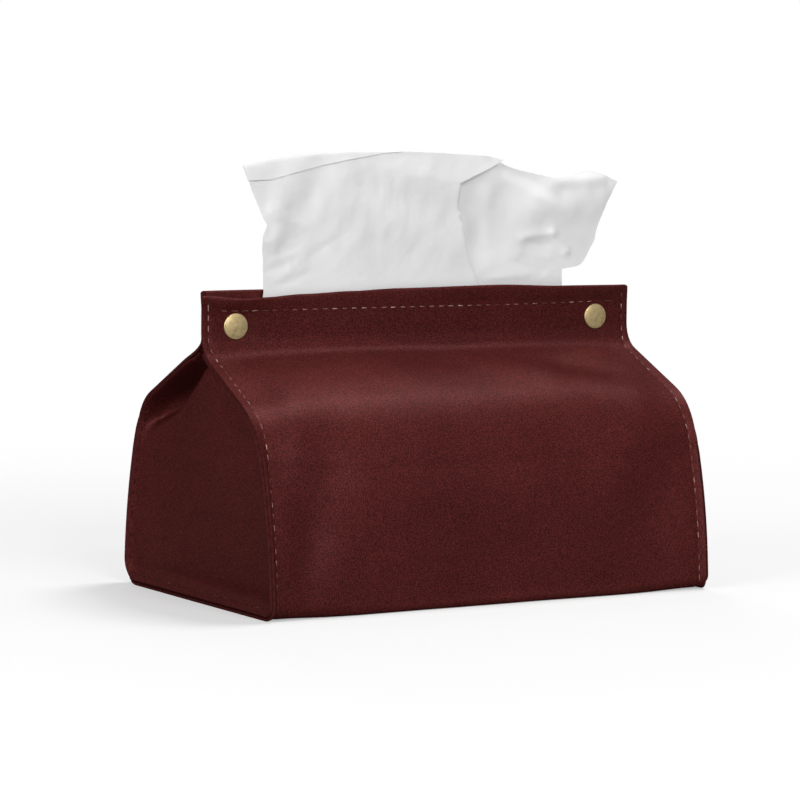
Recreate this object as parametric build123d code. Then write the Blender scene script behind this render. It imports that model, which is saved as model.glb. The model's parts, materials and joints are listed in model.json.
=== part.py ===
from build123d import *
import math
import os

# Soft leather cover for a pack of tissues. Millimetres, +Z up.
# X runs along the cover, -Y is the front, and the origin is the middle of the base on the table.

# ---- overall size -------------------------------------------------------------------------------
length = 225.0                 # end to end, seam edges included
base_depth = 141.4             # front to back at the table, measured to the sharp corners

# ---- end outline, measured on the outside of the leather ---------------------------------------
lower_wall_lean = 3.8          # degrees from upright, table to knee
upper_wall_lean = 14.0         # degrees from upright, knee to shoulder
knee_height = 36.0
shoulder_height = 82.4
lip_base_height = 109.6        # where the roof slopes would meet the lips
front_corner_radius = 4.0
back_corner_radius = 11.0
knee_radius = 240.0
shoulder_radius = 25.0
lip_base_radius = 5.0          # hollow side, where the roof turns up into the lip

# ---- sheet goods --------------------------------------------------------------------------------
leather = 1.2
lining = 0.4
board = 1.5
seam_allowance = 5.0           # how far the sewn edges stand out past the gusset
gusset_top_drop = 1.7          # the gusset ends this far under the lip base, its lining lower
gusset_lining_top_drop = 5.0
sewn_gap = 0.05                # between a lining's edge and the leather beside it
board_gap = 0.4                # between the board's long edges and the leather's rounded corners

# ---- lips ---------------------------------------------------------------------------------------
lip_end_inset = 1.0            # the lips are this much shorter than the wrap at each end
fold_above_roof = 2.6          # the line that each lip turns about, above the lip base
fold_gap = 0.2                 # between the lip's rounded foot and the roof's edge
hem_depth = 9.8                # how far the turned edge reaches down inside
hem_clearance = 0.5            # between the turned edge and the snaps below it
lining_foot = 0.8              # the lip lining starts this far above the fold line

# ---- press studs --------------------------------------------------------------------------------
snap_from_end = 17.5           # from a lip's end to a snap's centre
cap_above_fold = 1.35          # from the fold line to the cap's lowest point
cap_radius = 6.25
cap_rim = 0.7
cap_dome = 1.9
cap_edge_round = 0.5
shank_radius = 1.5
shank_clearance = 0.1
socket_wall = 1.2
socket_height = 2.4
socket_floor = 0.6
spring_wire = 0.25
spring_seat = 0.7              # the ring lies this far above the socket's floor
spring_groove_room = 0.25      # round the wire in its groove
spring_cut = 0.5
stud_radius = 4.4
stud_flange = 0.8
stud_head_radius = 1.9
stud_wall = 0.35
stud_tip_clearance = 0.4       # between the head and the socket's floor
stud_swing_clearance = 1.3     # round the head, so that it leaves the socket as the lip turns
snap_clearance = 0.4           # between socket rim and stud flange when closed
post_radius = 4.75
post_height = 0.8
post_dimple_radius = 1.2
post_dimple_depth = 0.4

# ---- tissue pack --------------------------------------------------------------------------------
pack_room = 7.7                # between the wrapped pack and the lining: ends, walls and shoulders
stack_round = 6.0
film = 0.4
film_clearance = 0.3
film_slot_width = 12.0
film_slot_clearance = 4.0      # past each side of the tissue

# ---- tissue that stands out of the slot ---------------------------------------------------------
sheet_thickness = 0.8
sheet_left_room = 10.1         # between the flat tissue and the left socket
sheet_right_room = 12.6
sheet_seat = 0.3               # above the stack
flat_above_lips = 3.5          # the tissue is flat between the lips and this far above them

# ---- thread -------------------------------------------------------------------------------------
stitch_pitch = 5.0
stitch_length = 3.2
stitch_width = 0.7
stitch_height = 0.45
stitch_lift = 0.05             # a straight stitch bridges this much over a bend
seam_to_edge = 3.0             # end seams, from the leather's edge
hem_seam_drop = 8.5            # hem seam, from the top of the lip
thread_free_height = 6.0       # no stitch lies on the underside
snap_thread_gap = 0.6          # the hem seam stops this far from a cap

# ---- worked out ---------------------------------------------------------------------------------
lip_gap = socket_height + stud_flange + snap_clearance
lip_inner = lip_gap / 2                      # half gap between the two lip linings
lip_leather_inner = lip_inner + lining
lip_outer = lip_leather_inner + leather
lip_length = length - 2 * lip_end_inset
socket_bore = stud_head_radius + stud_swing_clearance
socket_radius = socket_bore + socket_wall
stud_head_height = lip_gap - stud_flange - socket_floor - stud_tip_clearance
snap_x = lip_length / 2 - snap_from_end
fold_y = lip_outer - leather / 2
fold_height = lip_base_height + fold_above_roof
roof_edge_height = fold_height - leather / 2 - fold_gap
snap_height = fold_height + cap_above_fold + cap_radius
hem_foot = snap_height + socket_radius + hem_clearance
lip_top = hem_foot + hem_depth
above_all = lip_top + hem_depth              # the end outline is drawn past the lips, then cut
past = 1.0                                   # how far a cut runs past what it cuts
gusset_outer_x = length / 2 - seam_allowance
gusset_inner_x = gusset_outer_x - leather
lined_x = gusset_inner_x - lining
lining_floor = leather + board
pack_floor = lining_floor + lining
sheet_left = socket_radius + sheet_left_room - snap_x
sheet_right = snap_x - socket_radius - sheet_right_room
flat_until = lip_top + flat_above_lips


def lean_shift(height, degrees):
    return height * math.tan(math.radians(degrees))


def half_outline():
    """Sharp corners of the back half of the end outline, table to lip top, as (y, z)."""
    knee_y = base_depth / 2 - lean_shift(knee_height, lower_wall_lean)
    shoulder_y = knee_y - lean_shift(shoulder_height - knee_height, upper_wall_lean)
    return [
        (base_depth / 2, 0.0),
        (knee_y, knee_height),
        (shoulder_y, shoulder_height),
        (lip_outer, lip_base_height),
        (lip_outer, above_all),
    ]


def moved_in(points, inset):
    """The same chain of corners with every side moved inwards by inset."""
    sides = []
    for (y1, z1), (y2, z2) in zip(points, points[1:]):
        run = math.hypot(y2 - y1, z2 - z1)
        normal = ((z1 - z2) / run, (y2 - y1) / run)
        sides.append((y1 + normal[0] * inset, z1 + normal[1] * inset, y2 - y1, z2 - z1))
    corners = []
    for (ya, za, dya, dza), (yb, zb, dyb, dzb) in zip(sides, sides[1:]):
        cross = dya * dzb - dza * dyb
        along = ((yb - ya) * dzb - (zb - za) * dyb) / cross
        corners.append((ya + dya * along, za + dza * along))
    return corners


def outline(inset, floor):
    """Outline path inset from the leather's outer face: back lip, down, across, up to the front lip."""
    knee, shoulder, lip_base = moved_in(half_outline(), inset)
    lean = math.tan(math.radians(lower_wall_lean))
    foot_y = knee[0] + (knee[1] - floor) * lean
    top = (lip_base[0], above_all)
    back = [top, lip_base, shoulder, knee, (foot_y, floor)]
    points = back + [(-y, z) for y, z in reversed(back)]
    upper_radii = [lip_base_radius + inset, shoulder_radius - inset, knee_radius - inset]
    back_corner = back_corner_radius - inset
    front_corner = front_corner_radius - inset
    radii = upper_radii + [back_corner, front_corner] + upper_radii[::-1]
    return points, FilletPolyline(*points, radius=radii)


def outline_face(inset, floor, top):
    """The area inside the outline, cut level at the height top."""
    points, path = outline(inset, floor)
    lid = Line(points[-1], points[0])
    area = make_face(path + lid)
    wide = 2 * base_depth
    keep = Pos(0, top - wide / 2) * Rectangle(wide, wide)
    return area & keep


def along_x(face, start, end):
    """A solid with a Y-Z section that runs from x = start to x = end."""
    return extrude(Plane(origin=(start, 0, 0), x_dir=(0, 1, 0), z_dir=(1, 0, 0)) * face, end - start)


def mirrored_x(part):
    return mirror(part, about=Plane.YZ)


def mirrored_y(part):
    return mirror(part, about=Plane.XZ)


# ---- leather, lining and board ------------------------------------------------------------------
def make_wrap_panel():
    outer = outline_face(0, 0, roof_edge_height)
    inner = outline_face(leather, leather, above_all - past)
    return along_x(outer - inner, -length / 2, length / 2)


def make_left_gusset():
    """End panel with its sewn edge turned out along the inside of the wrap."""
    top = lip_base_height - gusset_top_drop
    panel = outline_face(leather, leather, top)
    inside = outline_face(2 * leather, 2 * leather, above_all - past)
    plate = along_x(panel, -gusset_outer_x, -gusset_inner_x)
    turned_edge = along_x(panel - inside, -length / 2, -gusset_outer_x)
    return plate + turned_edge


def make_base_board():
    """Stiff board between the bottom leather and the lining, clear of the rounded corners."""
    half_turn = math.tan(math.radians((90 + lower_wall_lean) / 2))
    inner_foot = base_depth / 2 - leather
    front = -(inner_foot - (front_corner_radius - leather) * half_turn)
    back = inner_foot - (back_corner_radius - leather) * half_turn
    middle = (front + back) / 2
    width = back - front - 2 * board_gap
    height = leather + board / 2
    return Pos(0, middle, height) * Box(2 * lined_x, width, board)


def make_wrap_lining():
    outer = outline_face(leather, lining_floor, roof_edge_height)
    inner = outline_face(leather + lining, pack_floor, above_all - past)
    return along_x(outer - inner, sewn_gap - lined_x, lined_x - sewn_gap)


def make_left_gusset_lining():
    top = lip_base_height - gusset_lining_top_drop
    face = outline_face(leather + lining, pack_floor, top)
    return along_x(face, -gusset_inner_x, -lined_x)


# ---- lips ---------------------------------------------------------------------------------------
def shank_holes(y_from, y_to):
    """Round holes for the two snaps through a lip, between two depths in y."""
    holes = []
    for x in (-snap_x, snap_x):
        hole = Cylinder(shank_radius + shank_clearance, y_to - y_from)
        holes.append(Pos(x, (y_from + y_to) / 2, snap_height) * Rot(90, 0, 0) * hole)
    return Part() + holes


def make_back_lip():
    """Upright leather edge with a rounded foot on the fold line and the hem turned inside."""
    sheet_top = lip_top - leather
    sheet_height = sheet_top - fold_height
    sheet = Pos(fold_y, fold_height + sheet_height / 2) * Rectangle(leather, sheet_height)
    foot = Pos(fold_y, fold_height) * Circle(leather / 2)
    turned_height = sheet_top - hem_foot
    turned = Pos(lip_leather_inner - leather / 2, hem_foot + turned_height / 2)
    turned = turned * Rectangle(leather, turned_height)
    top_fold = Pos(lip_leather_inner, sheet_top) * Circle(leather)
    section = sheet + foot + turned + top_fold
    lip = along_x(section, -lip_length / 2, lip_length / 2)
    return lip - shank_holes(0, lip_outer + past)


def make_back_lip_lining():
    low = fold_height + lining_foot
    high = hem_foot - sewn_gap
    middle = lip_inner + lining / 2
    panel = Pos(0, middle, (low + high) / 2) * Box(lip_length - 2 * lip_end_inset, lining, high - low)
    return panel - shank_holes(0, lip_outer)


# ---- press studs --------------------------------------------------------------------------------
def turned_part(section):
    """A turned part whose axis is +Z, from a half section in the X-Z plane."""
    return revolve(Plane.XZ * section, Axis.Z)


def onto_front(part, x, y):
    """Turns a part's +Z to the back (+Y) and sets it at a snap's centre."""
    return Pos(x, y, snap_height) * Rot(-90, 0, 0) * part


def onto_back(part, x, y):
    """Turns a part's +Z to the front (-Y) and sets it at a snap's centre."""
    return Pos(x, y, snap_height) * Rot(90, 0, 0) * part


def make_snap_cap(x):
    """Domed cap on the front lip. Its shank goes through the leather into the socket."""
    dome_start = cap_radius - cap_edge_round
    path = Polyline((0, 0), (cap_radius, 0), (cap_radius, cap_rim - cap_edge_round))
    edge = RadiusArc((cap_radius, cap_rim - cap_edge_round), (dome_start, cap_rim), -cap_edge_round)
    rise = cap_dome - cap_rim
    dome_radius = (dome_start ** 2 + rise ** 2) / (2 * rise)
    dome = RadiusArc((dome_start, cap_rim), (0, cap_dome), -dome_radius)
    axis_line = Line((0, cap_dome), (0, 0))
    cap = turned_part(make_face(path + edge + dome + axis_line))
    shank_length = leather + lining + socket_floor
    shank = Pos(0, 0, -shank_length / 2) * Cylinder(shank_radius, shank_length)
    return onto_back(cap + shank, x, -lip_outer)


def make_snap_socket(x):
    """Cup on the inner face of the front lip, open to the back."""
    body = Pos(0, 0, socket_height / 2) * Cylinder(socket_radius, socket_height)
    body = fillet(body.edges().group_by(Axis.Z)[-1], cap_edge_round)
    bore_height = socket_height - socket_floor
    bore = Pos(0, 0, socket_floor + bore_height / 2) * Cylinder(socket_bore, bore_height)
    hole = Pos(0, 0, socket_floor / 2) * Cylinder(shank_radius, socket_floor)
    groove_height = socket_floor + spring_seat + spring_wire
    groove = Pos(0, 0, groove_height) * Torus(socket_bore, spring_wire + spring_groove_room)
    return onto_front(body - bore - hole - groove, x, -lip_inner)


def make_socket_spring(x):
    """Round wire ring that lies in the socket's groove, open by a small cut."""
    height = socket_floor + spring_seat + spring_wire
    ring = Pos(0, 0, height) * Torus(socket_bore + spring_wire / 2, spring_wire)
    cut = Pos(0, socket_bore, height) * Box(spring_cut, socket_bore, 4 * spring_wire)
    return onto_front(ring - cut, x, -lip_inner)


def make_snap_stud(x):
    """Flange on the inner face of the back lip with a hollow head that enters the socket."""
    flange = Pos(0, 0, stud_flange / 2) * Cylinder(stud_radius, stud_flange)
    head_height = stud_flange + stud_head_height
    head = Pos(0, 0, head_height / 2) * Cylinder(stud_head_radius, head_height)
    head = fillet(head.edges().group_by(Axis.Z)[-1], cap_edge_round)
    hollow_height = head_height - stud_wall
    hollow = Pos(0, 0, hollow_height / 2) * Cylinder(shank_radius, hollow_height)
    return onto_back(flange + head - hollow, x, lip_inner)


def make_snap_post(x):
    """Flat rivet on the outside of the back lip, its shank set in the stud."""
    disc = Pos(0, 0, post_height / 2) * Cylinder(post_radius, post_height)
    disc = fillet(disc.edges().group_by(Axis.Z)[-1], post_height / 2)
    dimple = Pos(0, 0, post_height - post_dimple_depth / 2) * Cylinder(post_dimple_radius, post_dimple_depth)
    shank_length = leather + lining + stud_flange
    shank = Pos(0, 0, -shank_length / 2) * Cylinder(shank_radius, shank_length)
    return onto_front(disc + shank - dimple, x, lip_outer)


# ---- thread -------------------------------------------------------------------------------------
def stitch():
    return Box(stitch_length, stitch_width, stitch_height)


def stitch_on(point, along, outward):
    """One stitch lying on a surface at point, along its seam."""
    seat = stitch_height / 2 + stitch_lift
    centre = Vector(*point) + Vector(*outward) * seat
    return Plane(origin=centre, x_dir=along, z_dir=outward) * stitch()


def stitch_places(start, end):
    """Evenly spaced middles of the stitches between two ends of a seam."""
    count = int((end - start) / stitch_pitch)
    first = (start + end - (count - 1) * stitch_pitch) / 2
    return [first + step * stitch_pitch for step in range(count)]


def make_left_end_thread():
    """Stitches of the left end seam that show on the front wall, the back wall and the roof."""
    path = Wire(outline(0, 0)[1].edges())
    x = seam_to_edge - length / 2
    stitches = []
    for place in stitch_places(0, path.length):
        y, z = tuple(path @ (place / path.length))[:2]
        along_y, along_z = tuple(path % (place / path.length))[:2]
        on_roof_or_wall = thread_free_height < z < roof_edge_height - stitch_length
        if on_roof_or_wall:
            outward = (0, along_z, -along_y) if along_z * y > 0 else (0, -along_z, along_y)
            stitches.append(stitch_on((x, y, z), (0, along_y, along_z), outward))
    return Part() + stitches


def clear_of_snaps(x):
    keep_off = cap_radius + stitch_length / 2 + snap_thread_gap
    return abs(abs(x) - snap_x) > keep_off


def make_back_hem_thread():
    """Stitches of the back lip: the hem seam, and the end seams that run on up its two sides."""
    side = lip_length / 2 - seam_to_edge + lip_end_inset
    hem_height = lip_top - hem_seam_drop
    outward = (0, 1, 0)
    stitches = []
    for x in stitch_places(-side + stitch_pitch / 2, side - stitch_pitch / 2):
        if clear_of_snaps(x):
            stitches.append(stitch_on((x, lip_outer, hem_height), (1, 0, 0), outward))
    for z in stitch_places(fold_height + leather, lip_top - leather):
        for x in (-side, side):
            stitches.append(stitch_on((x, lip_outer, z), (0, 0, 1), outward))
    return Part() + stitches


# ---- tissue pack --------------------------------------------------------------------------------
def wall_at(height):
    """Half depth inside the lining of the upper wall at a height."""
    knee, shoulder, lip_base = moved_in(half_outline(), leather + lining)
    return knee[0] - lean_shift(height - knee[1], upper_wall_lean)


film_top = shoulder_height - leather - lining - pack_room
pack_length = 2 * (lined_x - pack_room)
pack_width = 2 * (wall_at(film_top) - pack_room)
stack_floor = pack_floor + film
stack_top = film_top - film - film_clearance
film_and_clearance = film + film_clearance


def rounded_block(block_length, block_width, floor, top, corner):
    block = Pos(0, 0, (floor + top) / 2) * Box(block_length, block_width, top - floor)
    return fillet(block.edges().filter_by(Axis.Z), corner)


def make_tissue_stack():
    shrink = 2 * film_and_clearance
    return rounded_block(pack_length - shrink, pack_width - shrink, stack_floor, stack_top, stack_round)


def make_tissue_pack_film():
    """Soft wrapper round the stack, with the slot that the tissues are drawn through."""
    outer_round = stack_round + film_and_clearance
    outer = rounded_block(pack_length, pack_width, pack_floor, film_top, outer_round)
    thin = 2 * film
    inner_round = stack_round + film_clearance
    inner = rounded_block(pack_length - thin, pack_width - thin, stack_floor, film_top - film, inner_round)
    slot = SlotOverall(sheet_right - sheet_left + 2 * film_slot_clearance, film_slot_width)
    slot_middle = (sheet_left + sheet_right) / 2
    slot_cut = Pos(slot_middle, 0, film_top - 2 * film) * extrude(slot, 4 * film)
    return outer - inner - slot_cut


# ---- tissue -------------------------------------------------------------------------------------
# Places on the tissue are measured from its left foot, from the middle of the cover or from its
# right foot, and heights from the top of the lips.
left_foot = sheet_left
cover_middle = 0.0
right_foot = sheet_right

# Folds of the standing tissue seen from above, left to right: measured from, x, and y at two heights.
folds = [
    (left_foot, -12.5, 1.5, 4.0),
    (left_foot, 30.5, -1.5, -4.5),
    (cover_middle, -4.0, 1.0, 3.0),
    (cover_middle, 26.0, -4.0, -9.0),
    (right_foot, -12.0, 3.0, 8.0),
    (right_foot, 34.0, -1.0, -3.0),
]
fold_middle_rise = 25.5
fold_top_rise = 63.5
fold_belly_middle = 1.6        # how far each stretch between folds bows out
fold_belly_top = 3.4

# What shows of the tissue in front view, clockwise from the left foot: measured from, x and rise.
tissue_edge = [
    (left_foot, 0.0, 0.0), (left_foot, 0.0, 23.0), (left_foot, 1.8, 28.5),
    (left_foot, -3.5, 41.0), (left_foot, -9.3, 55.0), (left_foot, 14.5, 59.0),
    (cover_middle, -38.8, 60.7), (cover_middle, -15.0, 61.2), (cover_middle, 34.0, 59.2),
    (cover_middle, 43.0, 57.0),
    (right_foot, -6.7, 49.0), (right_foot, 17.3, 51.4), (right_foot, 29.4, 47.0),
    (right_foot, 20.0, 26.0), (right_foot, 11.5, 12.0), (right_foot, 0.0, 6.5), (right_foot, 0.0, 0.0),
]


def wavy_section(fold_points, height, belly):
    """Thin wavy face across the tissue at one height, its belly bowing to the other side each time."""
    front = []
    back = []
    for index, ((x1, y1), (x2, y2)) in enumerate(zip(fold_points, fold_points[1:])):
        side = 1 if index % 2 else -1
        for strip, y_shift in ((front, -sheet_thickness / 2), (back, sheet_thickness / 2)):
            start = (x1, y1 + y_shift)
            end = (x2, y2 + y_shift)
            bowed = ((x1 + x2) / 2, (y1 + y2) / 2 + y_shift + side * belly)
            strip.append(ThreePointArc(start, bowed, end) if belly else Line(start, end))
    left_end, right_end = [
        Line((x, y - sheet_thickness / 2), (x, y + sheet_thickness / 2))
        for x, y in (fold_points[0], fold_points[-1])
    ]
    edges = front + [right_end] + back[::-1] + [left_end]
    return Pos(0, 0, height) * Face(Wire(edges))


def make_tissue_sheet():
    """Tissue drawn up through the slot: flat between the lips, folded above them."""
    foot = stack_top + sheet_seat
    height = flat_until - foot
    flat_middle = Pos((sheet_left + sheet_right) / 2, 0, foot + height / 2)
    flat = flat_middle * Box(sheet_right - sheet_left, sheet_thickness, height)
    straight = [(start + x, 0.0) for start, x, y_middle, y_top in folds]
    at_middle = [(start + x, y_middle) for start, x, y_middle, y_top in folds]
    at_top = [(start + x, y_top) for start, x, y_middle, y_top in folds]
    sections = [
        wavy_section(straight, flat_until, 0),
        wavy_section(at_middle, lip_top + fold_middle_rise, fold_belly_middle),
        wavy_section(at_top, lip_top + fold_top_rise, fold_belly_top),
    ]
    folded = loft(sections, ruled=True)
    seen = make_face(Polyline(*[(start + x, lip_top + rise) for start, x, rise in tissue_edge], close=True))
    reach = fold_belly_top + sheet_thickness + max(abs(y_top) for start, x, y_middle, y_top in folds)
    window = extrude(Plane.XZ * seen, reach, both=True)
    return flat + (folded & window)


# ---- all parts ----------------------------------------------------------------------------------
def all_parts():
    parts = {
        "wrap_panel": make_wrap_panel(),
        "wrap_lining": make_wrap_lining(),
        "base_board": make_base_board(),
        "tissue_pack_film": make_tissue_pack_film(),
        "tissue_stack": make_tissue_stack(),
        "tissue_sheet": make_tissue_sheet(),
    }
    left_pieces = {
        "gusset": make_left_gusset(),
        "gusset_lining": make_left_gusset_lining(),
        "end_thread": make_left_end_thread(),
    }
    for name, piece in left_pieces.items():
        parts["left_" + name] = piece
        parts["right_" + name] = mirrored_x(piece)
    back_pieces = {
        "lip": make_back_lip(),
        "lip_lining": make_back_lip_lining(),
        "hem_thread": make_back_hem_thread(),
    }
    for name, piece in back_pieces.items():
        parts["back_" + name] = piece
        parts["front_" + name] = mirrored_y(piece)
    for side, x in (("left", -snap_x), ("right", snap_x)):
        parts[side + "_snap_cap"] = make_snap_cap(x)
        parts[side + "_snap_socket"] = make_snap_socket(x)
        parts[side + "_socket_spring"] = make_socket_spring(x)
        parts[side + "_snap_stud"] = make_snap_stud(x)
        parts[side + "_snap_post"] = make_snap_post(x)
    return parts


os.makedirs("parts", exist_ok=True)
for name, piece in sorted(all_parts().items()):
    export_step(piece, "parts/" + name + ".step")
    box = piece.bounding_box()
    print(f"{name:20s} {len(piece.solids()):4d} solids  {box.size.X:7.2f} {box.size.Y:7.2f} {box.size.Z:7.2f}")
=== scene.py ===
# %% [markdown]
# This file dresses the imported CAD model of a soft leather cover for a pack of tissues.
# The frame is loaded first: it brings the CAD nodes, their moving bodies and the sizes that all
# pieces keep. Nothing here moves or resizes those nodes. Blender works in metres; the shapes below
# are thought out in millimetres, as a leather worker would, and turned into metres at the end.

# %% load the frame
import json
import math
import random
from functools import lru_cache

import bpy
from mathutils import Matrix, Vector, noise

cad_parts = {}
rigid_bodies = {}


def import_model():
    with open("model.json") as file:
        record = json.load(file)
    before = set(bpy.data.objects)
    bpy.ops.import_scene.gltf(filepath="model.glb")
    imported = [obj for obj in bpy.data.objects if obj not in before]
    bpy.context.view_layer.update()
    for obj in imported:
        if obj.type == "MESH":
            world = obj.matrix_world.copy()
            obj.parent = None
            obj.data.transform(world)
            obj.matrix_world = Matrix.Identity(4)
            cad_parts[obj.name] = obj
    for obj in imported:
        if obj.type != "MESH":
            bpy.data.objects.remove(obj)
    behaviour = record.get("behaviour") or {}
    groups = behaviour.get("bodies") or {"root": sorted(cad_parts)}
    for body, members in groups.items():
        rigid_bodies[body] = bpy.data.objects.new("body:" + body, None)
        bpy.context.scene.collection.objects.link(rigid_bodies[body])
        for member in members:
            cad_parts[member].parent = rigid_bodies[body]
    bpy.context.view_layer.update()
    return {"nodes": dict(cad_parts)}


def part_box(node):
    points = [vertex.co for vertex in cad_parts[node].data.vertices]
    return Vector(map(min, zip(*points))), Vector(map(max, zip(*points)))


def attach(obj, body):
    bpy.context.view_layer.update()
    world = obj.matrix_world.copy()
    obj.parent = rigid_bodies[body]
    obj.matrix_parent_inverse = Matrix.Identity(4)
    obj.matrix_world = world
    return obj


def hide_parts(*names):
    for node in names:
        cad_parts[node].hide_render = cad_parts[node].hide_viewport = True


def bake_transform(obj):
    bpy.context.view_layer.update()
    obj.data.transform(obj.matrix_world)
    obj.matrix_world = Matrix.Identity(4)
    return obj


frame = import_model()
random.seed(11)
MM = 0.001


# %% [markdown]
# Every new piece starts as one of Blender's primitives. Before each one is added, all else is
# deselected, because an operator works on everything that is selected. A finished piece keeps its
# object at the origin, so its place is in its mesh, and patterns on Object coordinates stay put.

# %% helpers for pieces
def deselect():
    if bpy.context.mode != "OBJECT":
        bpy.ops.object.mode_set(mode="OBJECT")
    bpy.ops.object.select_all(action="DESELECT")


def select_only(piece):
    deselect()
    piece.select_set(True)
    bpy.context.view_layer.objects.active = piece


def settle(piece):
    """Puts a piece's place into its mesh and leaves its object at the origin."""
    select_only(piece)
    bpy.ops.object.transform_apply(location=True, rotation=True, scale=True)


def edit_all(piece, operator, **settings):
    """Runs one of edit mode's operators on the whole mesh."""
    select_only(piece)
    bpy.ops.object.mode_set(mode="EDIT")
    bpy.ops.mesh.select_all(action="SELECT")
    operator(**settings)
    bpy.ops.object.mode_set(mode="OBJECT")


def apply_modifiers(piece):
    select_only(piece)
    for modifier in list(piece.modifiers):
        bpy.ops.object.modifier_apply(modifier=modifier.name)


def sharp_smooth(piece, degrees=40):
    select_only(piece)
    bpy.ops.object.shade_smooth_by_angle(angle=math.radians(degrees))


def smoothstep(value):
    value = min(1.0, max(0.0, value))
    return value * value * (3 - 2 * value)


def mix(a, b, share):
    return a + (b - a) * share


def ramp(value, table, ease=smoothstep):
    """Reads a smooth curve through (place, height) pairs."""
    if value <= table[0][0]:
        return table[0][1]
    for (x1, y1), (x2, y2) in zip(table, table[1:]):
        if value <= x2:
            return mix(y1, y2, ease((value - x1) / (x2 - x1)))
    return table[-1][1]


# %% [markdown]
# The cover's end outline is the one the CAD uses: a leaning wall, a rounded shoulder, a roof slope
# and an upright lip, with rounded corners between. Here it is a path that can be asked for moved in
# by any amount, because leather, lining and the turned seam edges all follow it at their own depth.

# %% the end outline
half_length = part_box("wrap_panel")[1][0] / MM
lip_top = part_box("front_lip")[1][2] / MM
lip_outer = -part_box("front_lip")[0][1] / MM
hem_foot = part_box("front_lip_lining")[1][2] / MM
snap_low, snap_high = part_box("left_snap_cap")
snap_x = -(snap_low[0] + snap_high[0]) / 2 / MM
snap_height = (snap_low[2] + snap_high[2]) / 2 / MM
cap_radius = (snap_high[0] - snap_low[0]) / 2 / MM
base_half = 70.7
knee_height = 36.0
shoulder_height = 82.4
lip_base_height = 109.6
lip_base_drop = 0.8  # at the sewn ends
lower_lean = math.tan(math.radians(3.8))
upper_lean = math.tan(math.radians(14.0))
leather = 1.2
hem_round = 1.25
smallest_round = 0.6
# radii of the corner, knee, shoulder and lip base: (at the sewn ends, in the middle)
front_rounds = [(6.0, 4.0), (240.0, 240.0), (36.0, 42.0), (13.0, 10.0)]
back_rounds = [(11.0, 11.0), (240.0, 240.0), (31.0, 42.0), (9.0, 10.0)]
PIECES = 9           # bottom, corner, lower wall, knee, upper wall, shoulder, roof, lip base, lip


def moved_in(points, inset):
    """The chain of corners with each side moved to its left by inset."""
    sides = []
    for (y1, z1), (y2, z2) in zip(points, points[1:]):
        run = math.hypot(y2 - y1, z2 - z1)
        dy, dz = (y2 - y1) / run, (z2 - z1) / run
        sides.append((y1 - dz * inset, z1 + dy * inset, dy, dz))
    corners = [(sides[0][0], sides[0][1])]
    for (ya, za, dya, dza), (yb, zb, dyb, dzb) in zip(sides, sides[1:]):
        cross = dya * dzb - dza * dyb
        step = ((yb - ya) * dzb - (zb - za) * dyb) / cross
        corners.append((ya + dya * step, za + dza * step))
    last = sides[-1]
    end = math.hypot(points[-1][0] - points[-2][0], points[-1][1] - points[-2][1])
    corners.append((last[0] + last[2] * end, last[1] + last[3] * end))
    return corners


@lru_cache(maxsize=None)
def outline_pieces(inset, front, soft=0.0):
    """Lines and arcs of half the end outline, y counted outwards, bottom middle to lip top. Soft is
    0 where the sewn end holds the leather to the outline, and 1 where it hangs free in rounder bends."""
    knee_y = base_half - knee_height * lower_lean
    shoulder_y = knee_y - (shoulder_height - knee_height) * upper_lean
    lip_base = lip_base_height - lip_base_drop * (1 - soft)
    corners = [(0, 0), (base_half, 0), (knee_y, knee_height), (shoulder_y, shoulder_height),
               (lip_outer, lip_base), (lip_outer, lip_top - hem_round)]
    corners = moved_in(corners, inset)
    corner_round, knee_round, shoulder_round, lip_round = (
        mix(*pair, soft) for pair in (front_rounds if front else back_rounds))
    rounds = [max(corner_round - inset, smallest_round), knee_round - inset, shoulder_round - inset,
              lip_round + inset]
    pieces = []
    start = corners[0]
    for before, corner, after, radius in zip(corners, corners[1:], corners[2:], rounds):
        into = Vector((corner[0] - before[0], corner[1] - before[1])).normalized()
        out = Vector((after[0] - corner[0], after[1] - corner[1])).normalized()
        turn = into.angle_signed(out)
        tangent = radius * math.tan(abs(turn) / 2)
        arc_start = Vector(corner) - into * tangent
        side = -1 if turn > 0 else 1
        centre = arc_start + Vector((-into.y, into.x)) * radius * side
        pieces.append(("line", Vector(start), arc_start))
        pieces.append(("arc", centre, arc_start - centre, -turn))
        start = Vector(corner) + out * tangent
    pieces.append(("line", Vector(start), Vector(corners[-1])))
    return pieces


def outline_point(station, inset, front, soft=0.0):
    """(y, z) at a station: the whole part counts the pieces of the outline, the rest is the share."""
    pieces = outline_pieces(round(inset, 2), front, round(soft, 2))
    index = min(int(station), PIECES - 1)
    share = station - index
    kind, first, second, *turn = pieces[index]
    if kind == "line":
        point = first.lerp(second, share)
    else:
        angle = turn[0] * share
        cos, sin = math.cos(angle), math.sin(angle)
        point = first + Vector((second.x * cos - second.y * sin, second.x * sin + second.y * cos))
    return (-point.x if front else point.x), point.y


def piece_length(index, front):
    kind, first, second, *turn = outline_pieces(0.0, front)[index]
    return (second - first).length if kind == "line" else second.length * abs(turn[0])


@lru_cache(maxsize=None)
def piece_ends(front):
    ends = [0.0]
    for index in range(PIECES):
        ends.append(ends[-1] + piece_length(index, front))
    return ends


def distance_at(station, front):
    """Millimetres along the leather from the bottom's middle to a station."""
    index = min(int(station), PIECES - 1)
    return piece_ends(front)[index] + piece_length(index, front) * (station - index)


def station_at(distance, front):
    ends = piece_ends(front)
    for index in range(PIECES):
        if distance <= ends[index + 1] or index == PIECES - 1:
            return index + (distance - ends[index]) / piece_length(index, front)


print("leather runs", round(distance_at(9, True), 1), "mm from the bottom's middle to the lip's top")


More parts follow.
